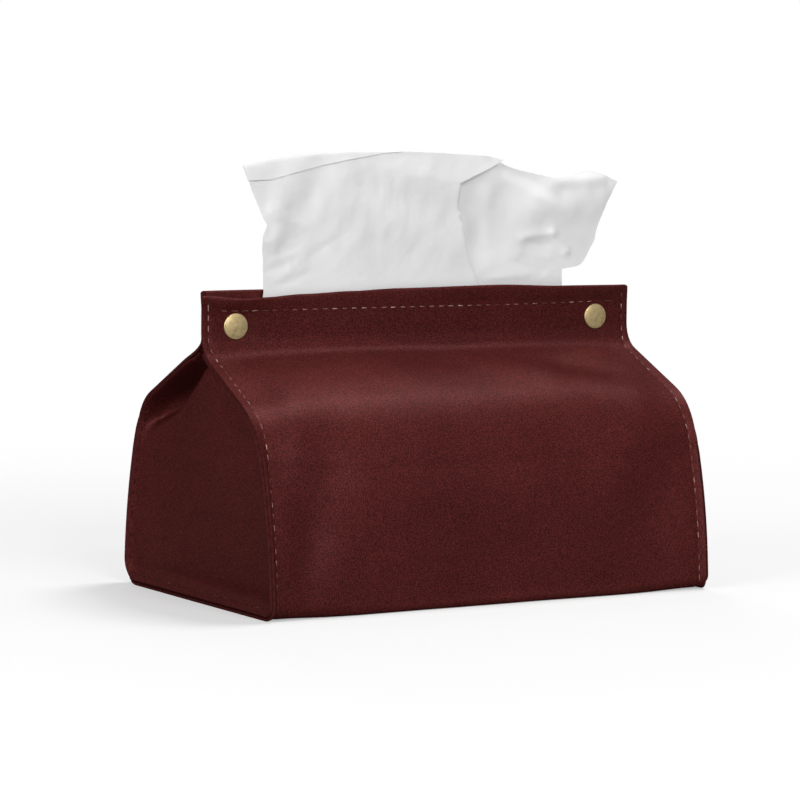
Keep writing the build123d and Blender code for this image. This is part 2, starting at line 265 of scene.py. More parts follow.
# %% [markdown]
# At each end the wrap and the gusset are laid face to face, sewn 3 mm from their cut edges, and
# left standing outwards as a ridge. On the walls the ridge leans out between the two faces; on the
# roof it lies flat. A cross-section that turns gradually from the ridge into each face gives that:
# it is found by small steps along the leather, so the leather keeps its width.

# %% the sewn ridge in cross-section
edge_half = leather + 0.02
seam_to_edge = 3.0
ridge_wedge = 7.0
section_steps = 24
# (station, degrees that the ridge leans there)
panel_lean = [(0.0, 10), (1.0, 14), (2.0, 57), (4.6, 57), (6.0, 10), (7.0, 4), (8.0, 0)]
gusset_lean = [(0.0, 40), (1.0, 42), (2.0, 57), (4.6, 57), (6.0, 14), (7.0, 8), (8.0, 4)]


def rolled_out(out, high, reach, angle_at):
    """Follows a section by small steps along the leather, from its cut edge inwards."""
    for step in range(section_steps):
        angle = angle_at(reach * (step + 0.5) / section_steps)
        out -= math.cos(angle) * reach / section_steps
        high -= math.sin(angle) * reach / section_steps
    return out, high


@lru_cache(maxsize=None)
def panel_edge(lean, reach):
    """Outer face of the wrap beside its cut edge: (outwards along X, outwards from the face)."""
    turn = math.radians(lean)
    straight = turn - math.radians(ridge_wedge) * math.sin(turn)
    return rolled_out(-2 * edge_half * math.sin(turn), 0.0, reach,
                      lambda at: straight * (1 - smoothstep((at - 0.8) / 3.8)))


@lru_cache(maxsize=None)
def gusset_edge(panel_angle, gusset_angle, reach):
    """Outer face of the gusset beside its cut edge, turning from the ridge down into the end face."""
    turn = math.radians(gusset_angle + ridge_wedge)
    return rolled_out(0.0, -2 * edge_half * math.cos(math.radians(panel_angle)), reach,
                      lambda at: mix(turn, math.pi / 2, smoothstep((at - 2.6) / 5.4)))


def lean_at(table, station):
    return round(ramp(station, table), 1)


for name, edge in (("wrap", panel_edge(57.0, 6.2)), ("gusset", gusset_edge(57.0, 57.0, 8.0))):
    print(name, "beside its ridge", [round(value, 2) for value in edge])


# %% [markdown]
# The wrap is soft leather drawn over a pack of tissues. Between its stiff ends it sags a little and
# keeps a few long, low folds. Each fold is a line on the leather with a width and a height; they are
# added up into how far the leather lies below its taut place. It is sculpting in numbers: every
# vertex of the sheet asks this one function, and so do the stitches that lie on it.

# %% drape of the wrap
edge_reach = 6.2
end_inset = 1.7
back_end_inset = 3.9
seam_groove, groove_width = 0.25, 0.8
snap_dent_depth = 0.35
front_bow_most, back_bow_most = -2.1, 1.7
back_pinch_most = 1.6
height_steps = 1600


def nearest_on(x1, y1, x2, y2, x, y):
    """The share along a line that is nearest to a place, and the gap left from there to it."""
    run_x, run_y = x2 - x1, y2 - y1
    share = ((x - x1) * run_x + (y - y1) * run_y) / (run_x ** 2 + run_y ** 2)
    share = min(1.0, max(0.0, share))
    return share, x - x1 - run_x * share, y - y1 - run_y * share


def bump_line(x, along, x1, along1, x2, along2, width, height):
    """A soft fold from one place on the leather to another; height is inwards."""
    _, gap_x, gap_along = nearest_on(x1, along1, x2, along2, x, along)
    return height * math.exp(-(math.hypot(gap_x, gap_along) / width) ** 2)


@lru_cache(maxsize=None)
def distance_of_height(z, front):
    """Millimetres along the leather to where it is z high."""
    for step in range(height_steps):
        station = 1 + 8 * step / height_steps
        if outline_point(station, 0.0, front)[1] >= z:
            return distance_at(station, front)
    return distance_at(9, front)


front_folds = [
    # x1, z1, x2, z2, width, height (inwards)
    (-58, 58, 62, 54, 20, -2.2),
    (-96, 37, -99, 29, 15, 3.0),
    (-84, 93, 100, 92, 20, -2.4),
    (-100, 84, -98, 68, 11, -1.6),
    (-84, 16, -70, 6, 14, -0.6),
    (82, 34, 96, 20, 17, 2.0),
    (84, 72, 90, 66, 13, -1.4),
    (-30, 32, 20, 16, 20, 1.0),
    (24, 98, 46, 95, 10, -0.7),
    (64, 98, 84, 95, 10, 1.4),
    (92, 40, 103, 22, 1.8, 0.7),
    (95, 43, 106, 26, 2.2, -0.45),
    (88, 37, 97, 21, 2.4, -0.4),
    (-105.0, 24, -104.2, 4, 1.5, 0.8),
    (-101.5, 30, -101.0, 6, 3.0, -0.4),
]
back_folds = [
    (-88, 68, -95, 34, 13, 3.0),
    (86, 70, 92, 36, 13, 2.8),
    (-20, 60, 45, 46, 20, -1.0),
    (40, 34, -35, 22, 18, 0.9),
    (-44, 108, -58, 90, 9, -1.8),
    (-24, 108, -30, 94, 8, 0.8),
    (-93, 44, -103, 24, 2.0, 0.6),
    (-96, 47, -105, 28, 2.4, -0.4),
]


def on_floor(station):
    """1 where the leather lies on the floor, 0 from the corner up."""
    return smoothstep((1.6 - station) / 0.8)


def sag_of(x, station, front):
    """Inward shift in mm of the wrap away from its two ends."""
    along = distance_at(station, front)
    from_end = half_length - 6 - abs(x)
    away = smoothstep(from_end / 22)
    near = smoothstep(from_end / 2.5)
    total = 0.0
    for x1, z1, x2, z2, width, height in front_folds if front else back_folds:
        line = (x1, distance_of_height(z1, front), x2, distance_of_height(z2, front))
        total += bump_line(x, along, *line, width, height) * (near if width <= 3 else away)
    seed = 3.0 if front else 8.0
    total += away * 0.5 * noise.noise(Vector((x / 46, along / 30, seed)))
    total += away * 0.16 * noise.noise(Vector((x / 13, along / 11, seed + 1)))
    lip = smoothstep((station - 7.0) / 1.2)
    return total * (1 - lip) * (1 - on_floor(station))


def snap_dent(x, z):
    """The press studs pull the leather in a little round each cap."""
    gap = math.hypot(abs(x) - snap_x, z - snap_height)
    return snap_dent_depth * (1 - smoothstep((gap - cap_radius + 0.5) / 5))


# (x, share of the most bow) and (x, lift in mm) along the lips' upper edges
front_bow = [(-112, 1.0), (-96, 1.3), (-74, 0.5), (-20, 0.25), (30, 0.8), (72, 1.1), (104, 1.1), (112, 0.8)]
back_bow = [(-112, 0.5), (-98, 1.0), (-60, 1.2), (0, 0.4), (60, 0.5), (98, 0.5), (112, 0.1)]
front_lift = [(-112, -0.8), (-92, -2.4), (-80, -2.1), (-62, -1.1), (-37, -0.3), (-11, 0.5), (41, 1.1),
              (74, 0.1), (112, -0.1)]
back_lift = [(-112, 1.0), (-70, 0.9), (0, -0.6), (60, -0.9), (90, -1.0), (112, -0.9)]
bow_from, lift_from = 125, 117


def lip_bow(x, z, front):
    """The lips' upper edges lean apart a little; this is the shift along Y."""
    most = front_bow_most * ramp(x, front_bow) if front else back_bow_most * ramp(x, back_bow)
    return most * smoothstep((z - bow_from) / (lip_top - bow_from))


def lip_lift(x, z, front):
    """How far the lip's upper edge stands above or below its mean, which wanders as soft leather does."""
    return ramp(x, front_lift if front else back_lift) * smoothstep((z - lift_from) / (lip_top - lift_from))


def back_pinch(x):
    """The back lip is pressed forwards a little at its ends."""
    return back_pinch_most * smoothstep((abs(x) - 84) / 26)


def drawn_in(station, front):
    """How far the sewn end is drawn in under the lips, in mm; at the front it starts on the roof."""
    if front:
        return end_inset * smoothstep((station - 5.6) / 1.7)
    return back_end_inset * smoothstep(station - 7)


def seam_reach(station):
    """The front seam runs a little further from the edge on the roof than on the wall."""
    return seam_to_edge + 1.3 * smoothstep((station - 4.8) / 1.0) * (1 - smoothstep((station - 7.0) / 0.8))


def wrap_point(x_side, reach, x, station, front, depth=0.0):
    """A point on the wrap's outer face: on the ridge (reach mm from the cut edge) or at x between."""
    lean = lean_at(panel_lean, station)
    inset_of_end = drawn_in(station, front)
    if x_side:
        out, high = panel_edge(lean, reach)
        high -= seam_groove * math.exp(-((reach - seam_reach(station)) / groove_width) ** 2)
        x = x_side * (half_length - inset_of_end + out)
    else:
        out, high = panel_edge(lean, edge_reach)
        from_ring = half_length - inset_of_end + out - abs(x)
        high *= 1 - on_floor(station) * smoothstep(from_ring / 25)
        high -= sag_of(x, station, front)
    soft = smoothstep((half_length - 7 - abs(x)) / 45)
    y, z = outline_point(station, depth - high, front, soft)
    bow = lip_bow(x, z, front)
    y += bow
    if front and station > 7.5:
        x += 0.55 * bow
        y += snap_dent(x, z)
    z += lip_lift(x, z, front)
    if not front:
        y -= back_pinch(x) * smoothstep((z - 104) / 10)
    return Vector((x, y, z))


print("the front wall's middle lies", round(sag_of(0, 4.5, True), 2), "mm further in than its ends")


# %% [markdown]
# The front half of the wrap is one flat piece of leather that runs from the middle of the bottom up
# the wall, over the roof, up the lip, and back down inside as a turned hem. It starts as a flat grid,
# the cut leather, and every vertex is then carried to its place on the bent sheet. Solidify gives
# it its thickness inwards, and a small bevel breaks the cut edges.

# %% leather sheets
ridge_steps = [0.0, 0.5, 1.1, 1.8, 2.5, 3.2, 4.0, 5.0, 6.2]
wall_columns = 78
rows_per_piece = [16, 5, 4, 14, 7, 12, 18, 6, 9]
inside_cover = Vector((0, 0, 0.05))


def flat_sheet(name, columns, rows):
    """A grid primitive whose vertices are known by column and row."""
    deselect()
    bpy.ops.mesh.primitive_grid_add(x_subdivisions=columns - 1, y_subdivisions=rows - 1, size=2)
    sheet = bpy.context.object
    sheet.name = sheet.data.name = name
    return sheet


def bend_sheet(sheet, columns, rows, place):
    """Carries each vertex of a flat sheet to place(column, row), given in mm."""
    for vertex in sheet.data.vertices:
        column = round((vertex.co.x + 1) / 2 * (columns - 1))
        row = round((vertex.co.y + 1) / 2 * (rows - 1))
        vertex.co = place(column, row) * MM


def face_away(sheet):
    """Turns the sheet's faces so that most of them point away from the inside of the cover."""
    outwards = 0.0
    for face in sheet.data.polygons:
        outwards += (face.center - inside_cover).dot(face.normal) * face.area
    if outwards < 0:
        edit_all(sheet, bpy.ops.mesh.flip_normals)


def thicken(sheet, thickness, bevel, rim=0):
    solid = sheet.modifiers.new("thickness", "SOLIDIFY")
    solid.thickness = thickness * MM
    solid.offset = -1
    solid.material_offset_rim = rim
    if bevel:
        soften = sheet.modifiers.new("soften", "BEVEL")
        soften.width = bevel * MM
        soften.segments = 2
        soften.limit_method = "ANGLE"
        soften.angle_limit = math.radians(65)
    apply_modifiers(sheet)


wrap_stations = [0.0]
for index, count in enumerate(rows_per_piece):
    wrap_stations += [index + (step + 1) / count for step in range(count)]
hem_turns = [20, 45, 75, 105, 135, 160, 180]
hem_drops = [0.2, 0.45, 0.7, 1.0]


def hem_point(x, turn, drop, front):
    """The leather past the lip's upper edge: round the fold, then down inside."""
    side = -1 if front else 1
    angle = math.radians(turn)
    y = side * (lip_outer - hem_round + hem_round * math.cos(angle))
    z = lip_top - hem_round + hem_round * math.sin(angle)
    lift = lip_lift(x, lip_top, front)
    y += lip_bow(x, mix(z, hem_foot + 0.1, drop), front)
    if not front:
        y -= back_pinch(x)
    x *= 1 - 0.016 * smoothstep(turn / 150)
    return Vector((x, y, mix(z, hem_foot + 0.1, drop) + lift * (1 - 0.4 * drop)))


def make_wrap(name, front):
    ring = len(ridge_steps)
    columns = 2 * ring + wall_columns
    rows = len(wrap_stations) + len(hem_turns) + len(hem_drops)
    sheet = flat_sheet(name, columns, rows)

    def place(column, row):
        station = wrap_stations[min(row, len(wrap_stations) - 1)]
        if column < ring:
            point = wrap_point(-1, ridge_steps[column], 0, station, front)
        elif column >= columns - ring:
            point = wrap_point(1, ridge_steps[columns - 1 - column], 0, station, front)
        else:
            reach = wrap_point(1, edge_reach, 0, station, front).x
            x = reach * (2 * (column - ring + 1) / (wall_columns + 1) - 1)
            point = wrap_point(0, 0, x, station, front)
        past = row - len(wrap_stations)
        if past >= len(hem_turns):
            point = hem_point(point.x, 180, hem_drops[past - len(hem_turns)], front)
        elif past >= 0:
            point = hem_point(point.x, hem_turns[past], 0, front)
        return point

    bend_sheet(sheet, columns, rows, place)
    face_away(sheet)
    return sheet


front_leather = make_wrap("front_leather", True)
back_leather = make_wrap("back_leather", False)
print("front leather", len(front_leather.data.vertices), "vertices")


# %% [markdown]
# Each gusset closes an end. Its edge is turned out along the ridge, and its upper part has to fold
# in as the roof narrows towards the lips: the front half stays smooth and full, and the back half
# tucks in along a valley that runs from the back shoulder up to the lips. The sheet is a grid again:
# its outer rows follow the ridge, and the rest is spread between them, then the fold is pressed in.

# %% gusset leather
gusset_steps = [0.0, 0.6, 1.3, 2.1, 3.0, 4.0, 5.2, 6.5, 8.0]
gusset_columns = 84
gusset_rows = 100
seam_start = 1.5
seam_end = 7.7
seam_top = 108.4
seam_gap = 0.15
crease_width_before, crease_width_behind = 3.3, 13.0
# (y, z, depth) along the folded-in crease, from the lips down to the back shoulder
valley = [(2.5, 106.0, 3.5), (6.5, 102.0, 6.5), (17.0, 95.3, 9.5), (24.5, 89.7, 11.0), (31.0, 85.0, 11.0),
          (38.0, 81.4, 9.0), (47.0, 77.6, 6.0), (56.0, 74.6, 3.8), (63.0, 72.8, 2.2)]


@lru_cache(maxsize=None)
def seam_path(inset, kind):
    """Points of a line that follows the seam at an inset: up the front, up the back, or along the floor."""
    points = []
    if kind == "floor":
        for step in range(41):
            points.append(outline_point(seam_start * (1 - step / 40), inset, True))
        for step in range(1, 41):
            points.append(outline_point(seam_start * step / 40, inset, False))
    else:
        front = kind == "front"
        for step in range(161):
            station = seam_start + (seam_end - seam_start) * step / 160
            y, z = outline_point(station, inset, front)
            if z > seam_top or (y > -seam_gap if front else y < seam_gap):
                break
            points.append((y, z))
    lengths = [0.0]
    for (y1, z1), (y2, z2) in zip(points, points[1:]):
        lengths.append(lengths[-1] + math.hypot(y2 - y1, z2 - z1))
    return points, lengths


def on_path(path, share):
    points, lengths = path
    want = share * lengths[-1]
    low, high = 0, len(lengths) - 1
    while high - low > 1:
        middle = (low + high) // 2
        low, high = (middle, high) if lengths[middle] <= want else (low, middle)
    part = (want - lengths[low]) / max(lengths[high] - lengths[low], 1e-9)
    return tuple(mix(a, b, part) for a, b in zip(points[low], points[high]))


def gusset_edge_point(kind, share, reach):
    """A point of the gusset reach mm from its cut edge, at a share of the seam's length, left end."""
    front = kind == "front"
    if kind == "floor":
        station = seam_start * abs(1 - 2 * share)
    else:
        start = distance_at(seam_start, front)
        station = station_at(start + share * (distance_at(seam_end, front) - start), front)
    out, high = gusset_edge(lean_at(panel_lean, station), lean_at(gusset_lean, station), reach)
    y, z = on_path(seam_path(round(-high, 1), kind), share)
    return Vector((drawn_in(station, front) - half_length - out, y, z))


def fold_depth(y, z):
    """How far the gusset is pressed in at a place: steep before the crease, easy behind it, in mm."""
    best = None
    for (y1, z1, d1), (y2, z2, d2) in zip(valley, valley[1:]):
        share, gap_y, gap_z = nearest_on(y1, z1, y2, z2, y, z)
        gap = math.hypot(gap_y, gap_z)
        if best is None or gap < best[0]:
            best = (gap, mix(d1, d2, share), (y2 - y1) * gap_z - (z2 - z1) * gap_y > 0)
    gap, depth, behind = best
    if behind:
        return depth * (1 - smoothstep(gap / crease_width_behind))
    return depth * math.exp(-((gap / crease_width_before) ** 2))


def belly(y, z):
    """The end bulges where the front half of the gusset stands full below the lips."""
    upper = math.exp(-((y + 9) / 19) ** 2) * smoothstep((z - 62) / 32) * (1 - smoothstep((z - 97) / 12))
    lower = math.exp(-((y - 5) / 45) ** 2 - ((z - 45) / 30) ** 2)
    return 2.0 * upper - 1.0 * lower


def gusset_point(column, row):
    last_ring = len(gusset_steps) - 1
    ring = min(column, gusset_columns - 1 - column, row)
    if ring <= last_ring:
        reach = gusset_steps[ring]
        tall = (row - ring) / (gusset_rows - 1 - ring)
        if ring == column:
            point = gusset_edge_point("front", tall, reach)
        elif ring == gusset_columns - 1 - column:
            point = gusset_edge_point("back", tall, reach)
        else:
            point = gusset_edge_point("floor", (column - ring) / (gusset_columns - 1 - 2 * ring), reach)
    else:
        reach = gusset_steps[-1]
        across = (column - last_ring) / (gusset_columns - 1 - 2 * last_ring)
        tall = (row - last_ring) / (gusset_rows - 1 - last_ring)
        left = gusset_edge_point("front", tall, reach)
        right = gusset_edge_point("back", tall, reach)
        low = gusset_edge_point("floor", across, reach)
        high = gusset_edge_point("front", 1, reach).lerp(gusset_edge_point("back", 1, reach), across)
        floor = gusset_edge_point("floor", 0, reach).lerp(gusset_edge_point("floor", 1, reach), across)
        point = left.lerp(right, across) + low.lerp(high, tall) - (floor * (1 - tall) + high * tall)
    loose = smoothstep((point.z - 70) / 10) * smoothstep(point.y / 6)
    free = smoothstep((ring - mix(3, 1.5, loose)) / mix(7, 4.5, loose))
    point.x += free * (fold_depth(point.y, point.z) - belly(point.y, point.z))
    point.x += smoothstep((ring - 6) / 12) * 0.6 * noise.noise(Vector((point.y / 28, point.z / 24, 5.0)))
    return point


def make_gusset(name, side):
    sheet = flat_sheet(name, gusset_columns, gusset_rows)

    def place(column, row):
        point = gusset_point(column, row)
        point.x *= -side
        return point

    bend_sheet(sheet, gusset_columns, gusset_rows, place)
    face_away(sheet)
    return sheet


left_gusset_leather = make_gusset("left_gusset_leather", -1)
right_gusset_leather = make_gusset("right_gusset_leather", 1)
print("gusset reaches x", round(min(v.co.x for v in left_gusset_leather.data.vertices) / MM, 2))


# %% [markdown]
# Stitches lie on both faces of each ridge, 3 mm from its cut edges, and along the lips' hems. One
# stitch is modelled: a short thread with its ends pulled down into the leather. It is then copied to
# each place, and a place is asked from the same functions that bent the leather, so the thread
# follows every fold. The copies of a row are joined to one piece.

# %% one stitch
ridge_seam_end = 8.96
hem_seam_station = 8.62
look_along, look_across = 0.8, 0.4
stitch_pitch = 5.0
stitch_length = 3.3
thread_round = 0.23
thread_flat = 0.8    # its height over its width
end_pulled = 0.42
middle_proud = 0.08


def make_stitch():
    deselect()
    bpy.ops.mesh.primitive_uv_sphere_add(segments=8, ring_count=7, radius=1)
    stitch = bpy.context.object
    stitch.name = "stitch_pattern"
    stitch.rotation_euler = (0, math.pi / 2, 0)
    settle(stitch)
    for vertex in stitch.data.vertices:
        x, y, z = vertex.co
        full = (1 - abs(x) ** 3.0) ** 0.5 / max((1 - x * x) ** 0.5, 0.05) if abs(x) < 0.999 else 1
        height = z * full * thread_round * thread_flat - end_pulled * x ** 4 + middle_proud
        vertex.co = (x * stitch_length / 2, y * full * thread_round, height)
    bpy.ops.object.shade_smooth()
    return stitch


stitch_pattern = make_stitch()


def even_places(start, end):
    count = int((end - start) / stitch_pitch)
    first = (start + end - (count - 1) * stitch_pitch) / 2
    return [first + step * stitch_pitch for step in range(count)]


def sew(name, places):
    """Copies the stitch to (middle, direction, outwards) places and joins the copies."""
    copies = []
    for middle, along, outwards in places:
        copy = stitch_pattern.copy()
        copy.data = stitch_pattern.data.copy()
        bpy.context.collection.objects.link(copy)
        along = along.normalized()
        aside = outwards.cross(along).normalized()
        up = along.cross(aside)
        wander = random.uniform(-0.06, 0.06)
        along = (along + aside * wander).normalized()
        aside = up.cross(along)
        turn = Matrix((along, aside, up)).transposed().to_4x4()
        copy.matrix_world = Matrix.Translation(middle * MM) @ turn @ Matrix.Scale(MM, 4)
        copies.append(copy)
    deselect()
    for copy in copies:
        copy.select_set(True)
    bpy.context.view_layer.objects.active = copies[0]
    bpy.ops.object.join()
    row = bpy.context.object
    row.name = row.data.name = name
    settle(row)
    print(name, len(places), "stitches")
    return row


def sewn_place(point_at, where, inner):
    """Middle, direction and outward normal from a surface function of (distance, sideways)."""
    middle = point_at(where, 0.0)
    along = point_at(where + look_along, 0.0) - point_at(where - look_along, 0.0)
    across = point_at(where, look_across) - point_at(where, -look_across)
    outwards = along.cross(across).normalized()
    if outwards.dot(middle - Vector(inner)) < 0:
        outwards = -outwards
    return middle, along, outwards


# %% rows of stitches
def ridge_row(side, front):
    """Stitches on the wrap's side of a ridge, from the floor up to the lip's upper edge."""
    def point_at(distance, sideways):
        station = station_at(distance, front)
        return wrap_point(side, seam_reach(station) + sideways, 0, station, front)

    start, end = distance_at(seam_start, front), distance_at(ridge_seam_end, front)
    return [sewn_place(point_at, where, (0, 0, 50)) for where in even_places(start, end)]


def hem_row(front):
    """The seam that holds the turned hem, along the lip's outer face."""
    edge = half_length - end_inset - seam_to_edge - stitch_pitch * 0.6

    def point_at(x, sideways):
        level = hem_seam_station - lip_lift(x, lip_top, front) * 0.6 / piece_length(8, front)
        return wrap_point(0, 0, x, level + sideways * 0.04, front)

    return [sewn_place(point_at, x, (0, 0, 118)) for x in even_places(-edge, edge)]


front_places = ridge_row(-1, True) + ridge_row(1, True) + hem_row(True)
back_places = ridge_row(-1, False) + ridge_row(1, False) + hem_row(False)
front_stitches = sew("front_stitches", front_places)
back_stitches = sew("back_stitches", back_places)


stitched_inset = 2.4
back_seam_hidden = 80    # above it, the folded-in leather covers the back seam


def gusset_row(kind):
    """Stitches on the gusset's side of its ridge, left end."""
    path = seam_path(stitched_inset, kind)
    total = path[1][-1]

    def point_at(distance, sideways):
        return gusset_edge_point(kind, min(1.0, max(0.0, distance / total)), seam_to_edge + sideways)

    places = [sewn_place(point_at, where, (0, 0, 50)) for where in even_places(2, total - 3)]
    return [place for place in places if kind != "back" or place[0].z < back_seam_hidden]


left_places = gusset_row("front") + gusset_row("back") + gusset_row("floor")
flip = Vector((-1, 1, 1))
right_places = [(middle * flip, along * flip, outwards * flip) for middle, along, outwards in left_places]
left_stitches = sew("left_gusset_stitches", left_places)
right_stitches = sew("right_gusset_stitches", right_places)
bpy.data.objects.remove(stitch_pattern)


# %% [markdown]
# The leather and gusset sheets get their thickness now, after the stitches have been placed on
# their outer faces. The rim of each sheet takes a second material, because cut leather is paler
# at its edge than on its finished face.

# %% thickness of the leather
for sheet in (front_leather, back_leather, left_gusset_leather, right_gusset_leather):
    for name in ("leather", "cut_edge"):
        sheet.data.materials.append(bpy.data.materials.get(name) or bpy.data.materials.new(name))
    thicken(sheet, leather - 0.05, 0.22, rim=1)
    sharp_smooth(sheet, 50)
    print(sheet.name, len(sheet.data.polygons), "faces")


# %% [markdown]
# Inside, the leather is lined with a thin woven cloth. The lining is cut like the leather but stops
# short of the seams, so its sheets ask the same functions for their places, only deeper: on the
# bottom it lies over the stiff board, and on the lips it stops where the turned hem comes down. A
# gusset's lining is a copy of the gusset's sheet, trimmed and moved inwards. The trim picks vertices
# by the number that they had in the flat grid, which thickening has changed, so it leaves diagonal
# gaps in this lining. They are inside, behind the pack. A sounder way is to copy the sheet before it
# is thickened.

# %% linings
lining = 0.35
under_board = leather + 1.55
behind_leather = leather + 0.06
lining_columns = 60
lining_rows = [10, 5, 4, 12, 6, 10, 16, 6, 5]
lining_top = 8.45    # the station where the turned hem comes down
rings_trimmed = 7


def delete_picked(piece, kind, picked):
    """Deletes the faces (kind FACE) or the vertices and their neighbours (kind VERT) that picked chooses."""
    select_only(piece)
    bpy.context.tool_settings.mesh_select_mode = (kind == "VERT", False, kind == "FACE")
    bpy.ops.object.mode_set(mode="EDIT")
    bpy.ops.mesh.select_all(action="DESELECT")
    bpy.ops.object.mode_set(mode="OBJECT")
    for element in piece.data.vertices if kind == "VERT" else piece.data.polygons:
        element.select = picked(element)
    bpy.ops.object.mode_set(mode="EDIT")
    if kind == "VERT":
        bpy.ops.mesh.select_more()
    bpy.ops.mesh.delete(type=kind)
    bpy.ops.object.mode_set(mode="OBJECT")


def make_lining(name, front):
    stations = [0.0]
    for index, count in enumerate(lining_rows):
        top = min(index + 1.0, lining_top)
        stations += [index + (top - index) * (step + 1) / count for step in range(count)]
    sheet = flat_sheet(name, lining_columns, len(stations))

    def place(column, row):
        station = stations[row]
        depth = mix(under_board, behind_leather, smoothstep(station - 1))
        reach = abs(wrap_point(1, edge_reach, 0, station, front).x) - 0.6
        x = reach * (2 * column / (lining_columns - 1) - 1)
        return wrap_point(0, 0, x, station, front, depth)

    bend_sheet(sheet, lining_columns, len(stations), place)
    face_away(sheet)
    thicken(sheet, lining, 0)
    sharp_smooth(sheet, 50)
    return sheet


def make_gusset_lining(name, leather_sheet):
    deselect()
    sheet = leather_sheet.copy()
    sheet.data = leather_sheet.data.copy()
    bpy.context.collection.objects.link(sheet)
    sheet.name = sheet.data.name = name

    def near_rim(vertex):
        row, column = divmod(vertex.index, gusset_columns)
        return min(column, gusset_columns - 1 - column, row, gusset_rows - 1 - row) < rings_trimmed

    delete_picked(sheet, "VERT", near_rim)
    edit_all(sheet, bpy.ops.transform.shrink_fatten, value=-behind_leather * MM)
    thicken(sheet, lining, 0)
    sharp_smooth(sheet, 50)
    return sheet


front_lining = make_lining("front_lining", True)
back_lining = make_lining("back_lining", False)
left_gusset_cloth = make_gusset_lining("left_gusset_cloth", left_gusset_leather)
right_gusset_cloth = make_gusset_lining("right_gusset_cloth", right_gusset_leather)
linings = (front_lining, back_lining, left_gusset_cloth, right_gusset_cloth)
for cloth in linings:
    highest = max(vertex.co.z for vertex in cloth.data.vertices) / MM
    print(cloth.name, len(cloth.data.polygons), "faces, highest z", round(highest, 1))


# %% [markdown]
# The pack of tissues fills the cover. Its stack is a block of folded sheets, seen at its ends and
# sides as fine layers; its film is a thin, slightly wrinkled wrapper with a slot in its top. Both
# start as cubes that are cut into many faces, so that edge rows can be drawn in and out.

# %% the pack
def block(name, low, high, cuts_x, cuts_y, cuts_z, rounding):
    """A cube primitive at its size and place, its edges rounded, divided along each axis."""
    deselect()
    middle = [(a + b) / 2 for a, b in zip(low, high)]
    size_of = [b - a for a, b in zip(low, high)]
    bpy.ops.mesh.primitive_cube_add(size=1, location=middle)
    piece = bpy.context.object
    piece.name = piece.data.name = name
    piece.scale = size_of
    settle(piece)
    bpy.ops.object.mode_set(mode="EDIT")
    for axis, cuts in enumerate((cuts_x, cuts_y, cuts_z)):
        for step in range(1, cuts):
            place = [0.0, 0.0, 0.0]
            normal = [0.0, 0.0, 0.0]
            place[axis] = mix(low[axis], high[axis], step / cuts)
            normal[axis] = 1.0
            bpy.ops.mesh.select_all(action="SELECT")
            bpy.ops.mesh.bisect(plane_co=place, plane_no=normal)
    bpy.ops.object.mode_set(mode="OBJECT")
    core = [size_of[axis] / 2 - rounding for axis in (0, 1)]
    for vertex in piece.data.vertices:
        beyond = [max(abs(vertex.co[axis]) - core[axis], 0.0) for axis in (0, 1)]
        if min(beyond) > 0:
            share = max(beyond) / math.hypot(*beyond)
            for axis in (0, 1):
                vertex.co[axis] = math.copysign(core[axis] + beyond[axis] * share, vertex.co[axis])
    return piece


paper_layers = 64
stack_round, film_round = 6.0, 6.7
slot_half_x, slot_half_y = 86.0, 6.0


def make_stack():
    low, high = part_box("tissue_stack")
    stack = block("layered_stack", low, high, 44, 26, paper_layers, stack_round * MM)
    edge = [high[axis] - (stack_round + 0.1) * MM for axis in (0, 1)]
    for vertex in stack.data.vertices:
        layer = round((vertex.co.z - low[2]) / (high[2] - low[2]) * paper_layers)
        if layer % 2 and 0 < layer < paper_layers:
            pull = max(0.25 + 0.55 * noise.noise(Vector((layer * 0.37, 1.0, 2.0))), 0.0) * MM
            for axis in (0, 1):
                if abs(vertex.co[axis]) > edge[axis]:
                    vertex.co[axis] -= math.copysign(pull, vertex.co[axis])
    sharp_smooth(stack, 25)
    return stack


def make_film():
    low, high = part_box("tissue_pack_film")
    film = block("pack_film", low, high, 72, 42, 30, film_round * MM)

    def over_slot(face):
        x, y, z = face.center / MM
        return z > high[2] / MM - 0.01 and abs(x) < slot_half_x and abs(y) < slot_half_y

    delete_picked(film, "FACE", over_slot)
    for vertex in film.data.vertices:
        x, y, z = vertex.co / MM
        inwards = Vector((x / 98, y / 50, (z - 38) / 35))
        dent = 0.10 + 0.10 * noise.noise(Vector((x / 15, y / 15, z / 12)))
        largest = max(abs(value) for value in inwards)
        for axis in range(3):
            if abs(abs(inwards[axis]) - largest) < 0.04:
                vertex.co[axis] -= math.copysign(dent, inwards[axis]) * MM
    thicken(film, 0.12, 0)
    sharp_smooth(film, 40)
    return film


layered_stack = make_stack()
pack_film = make_film()
print("stack", len(layered_stack.data.polygons), "faces; film", len(pack_film.data.polygons), "faces")


# %% [markdown]
# The snap caps are turned brass: a low dome, a shallow step and a rounded edge that is pressed into
# the leather. A circle is extruded ring by ring with each ring scaled, which is how a turned shape
# is drawn from its section.

# %% snap caps
cap_sides = 56


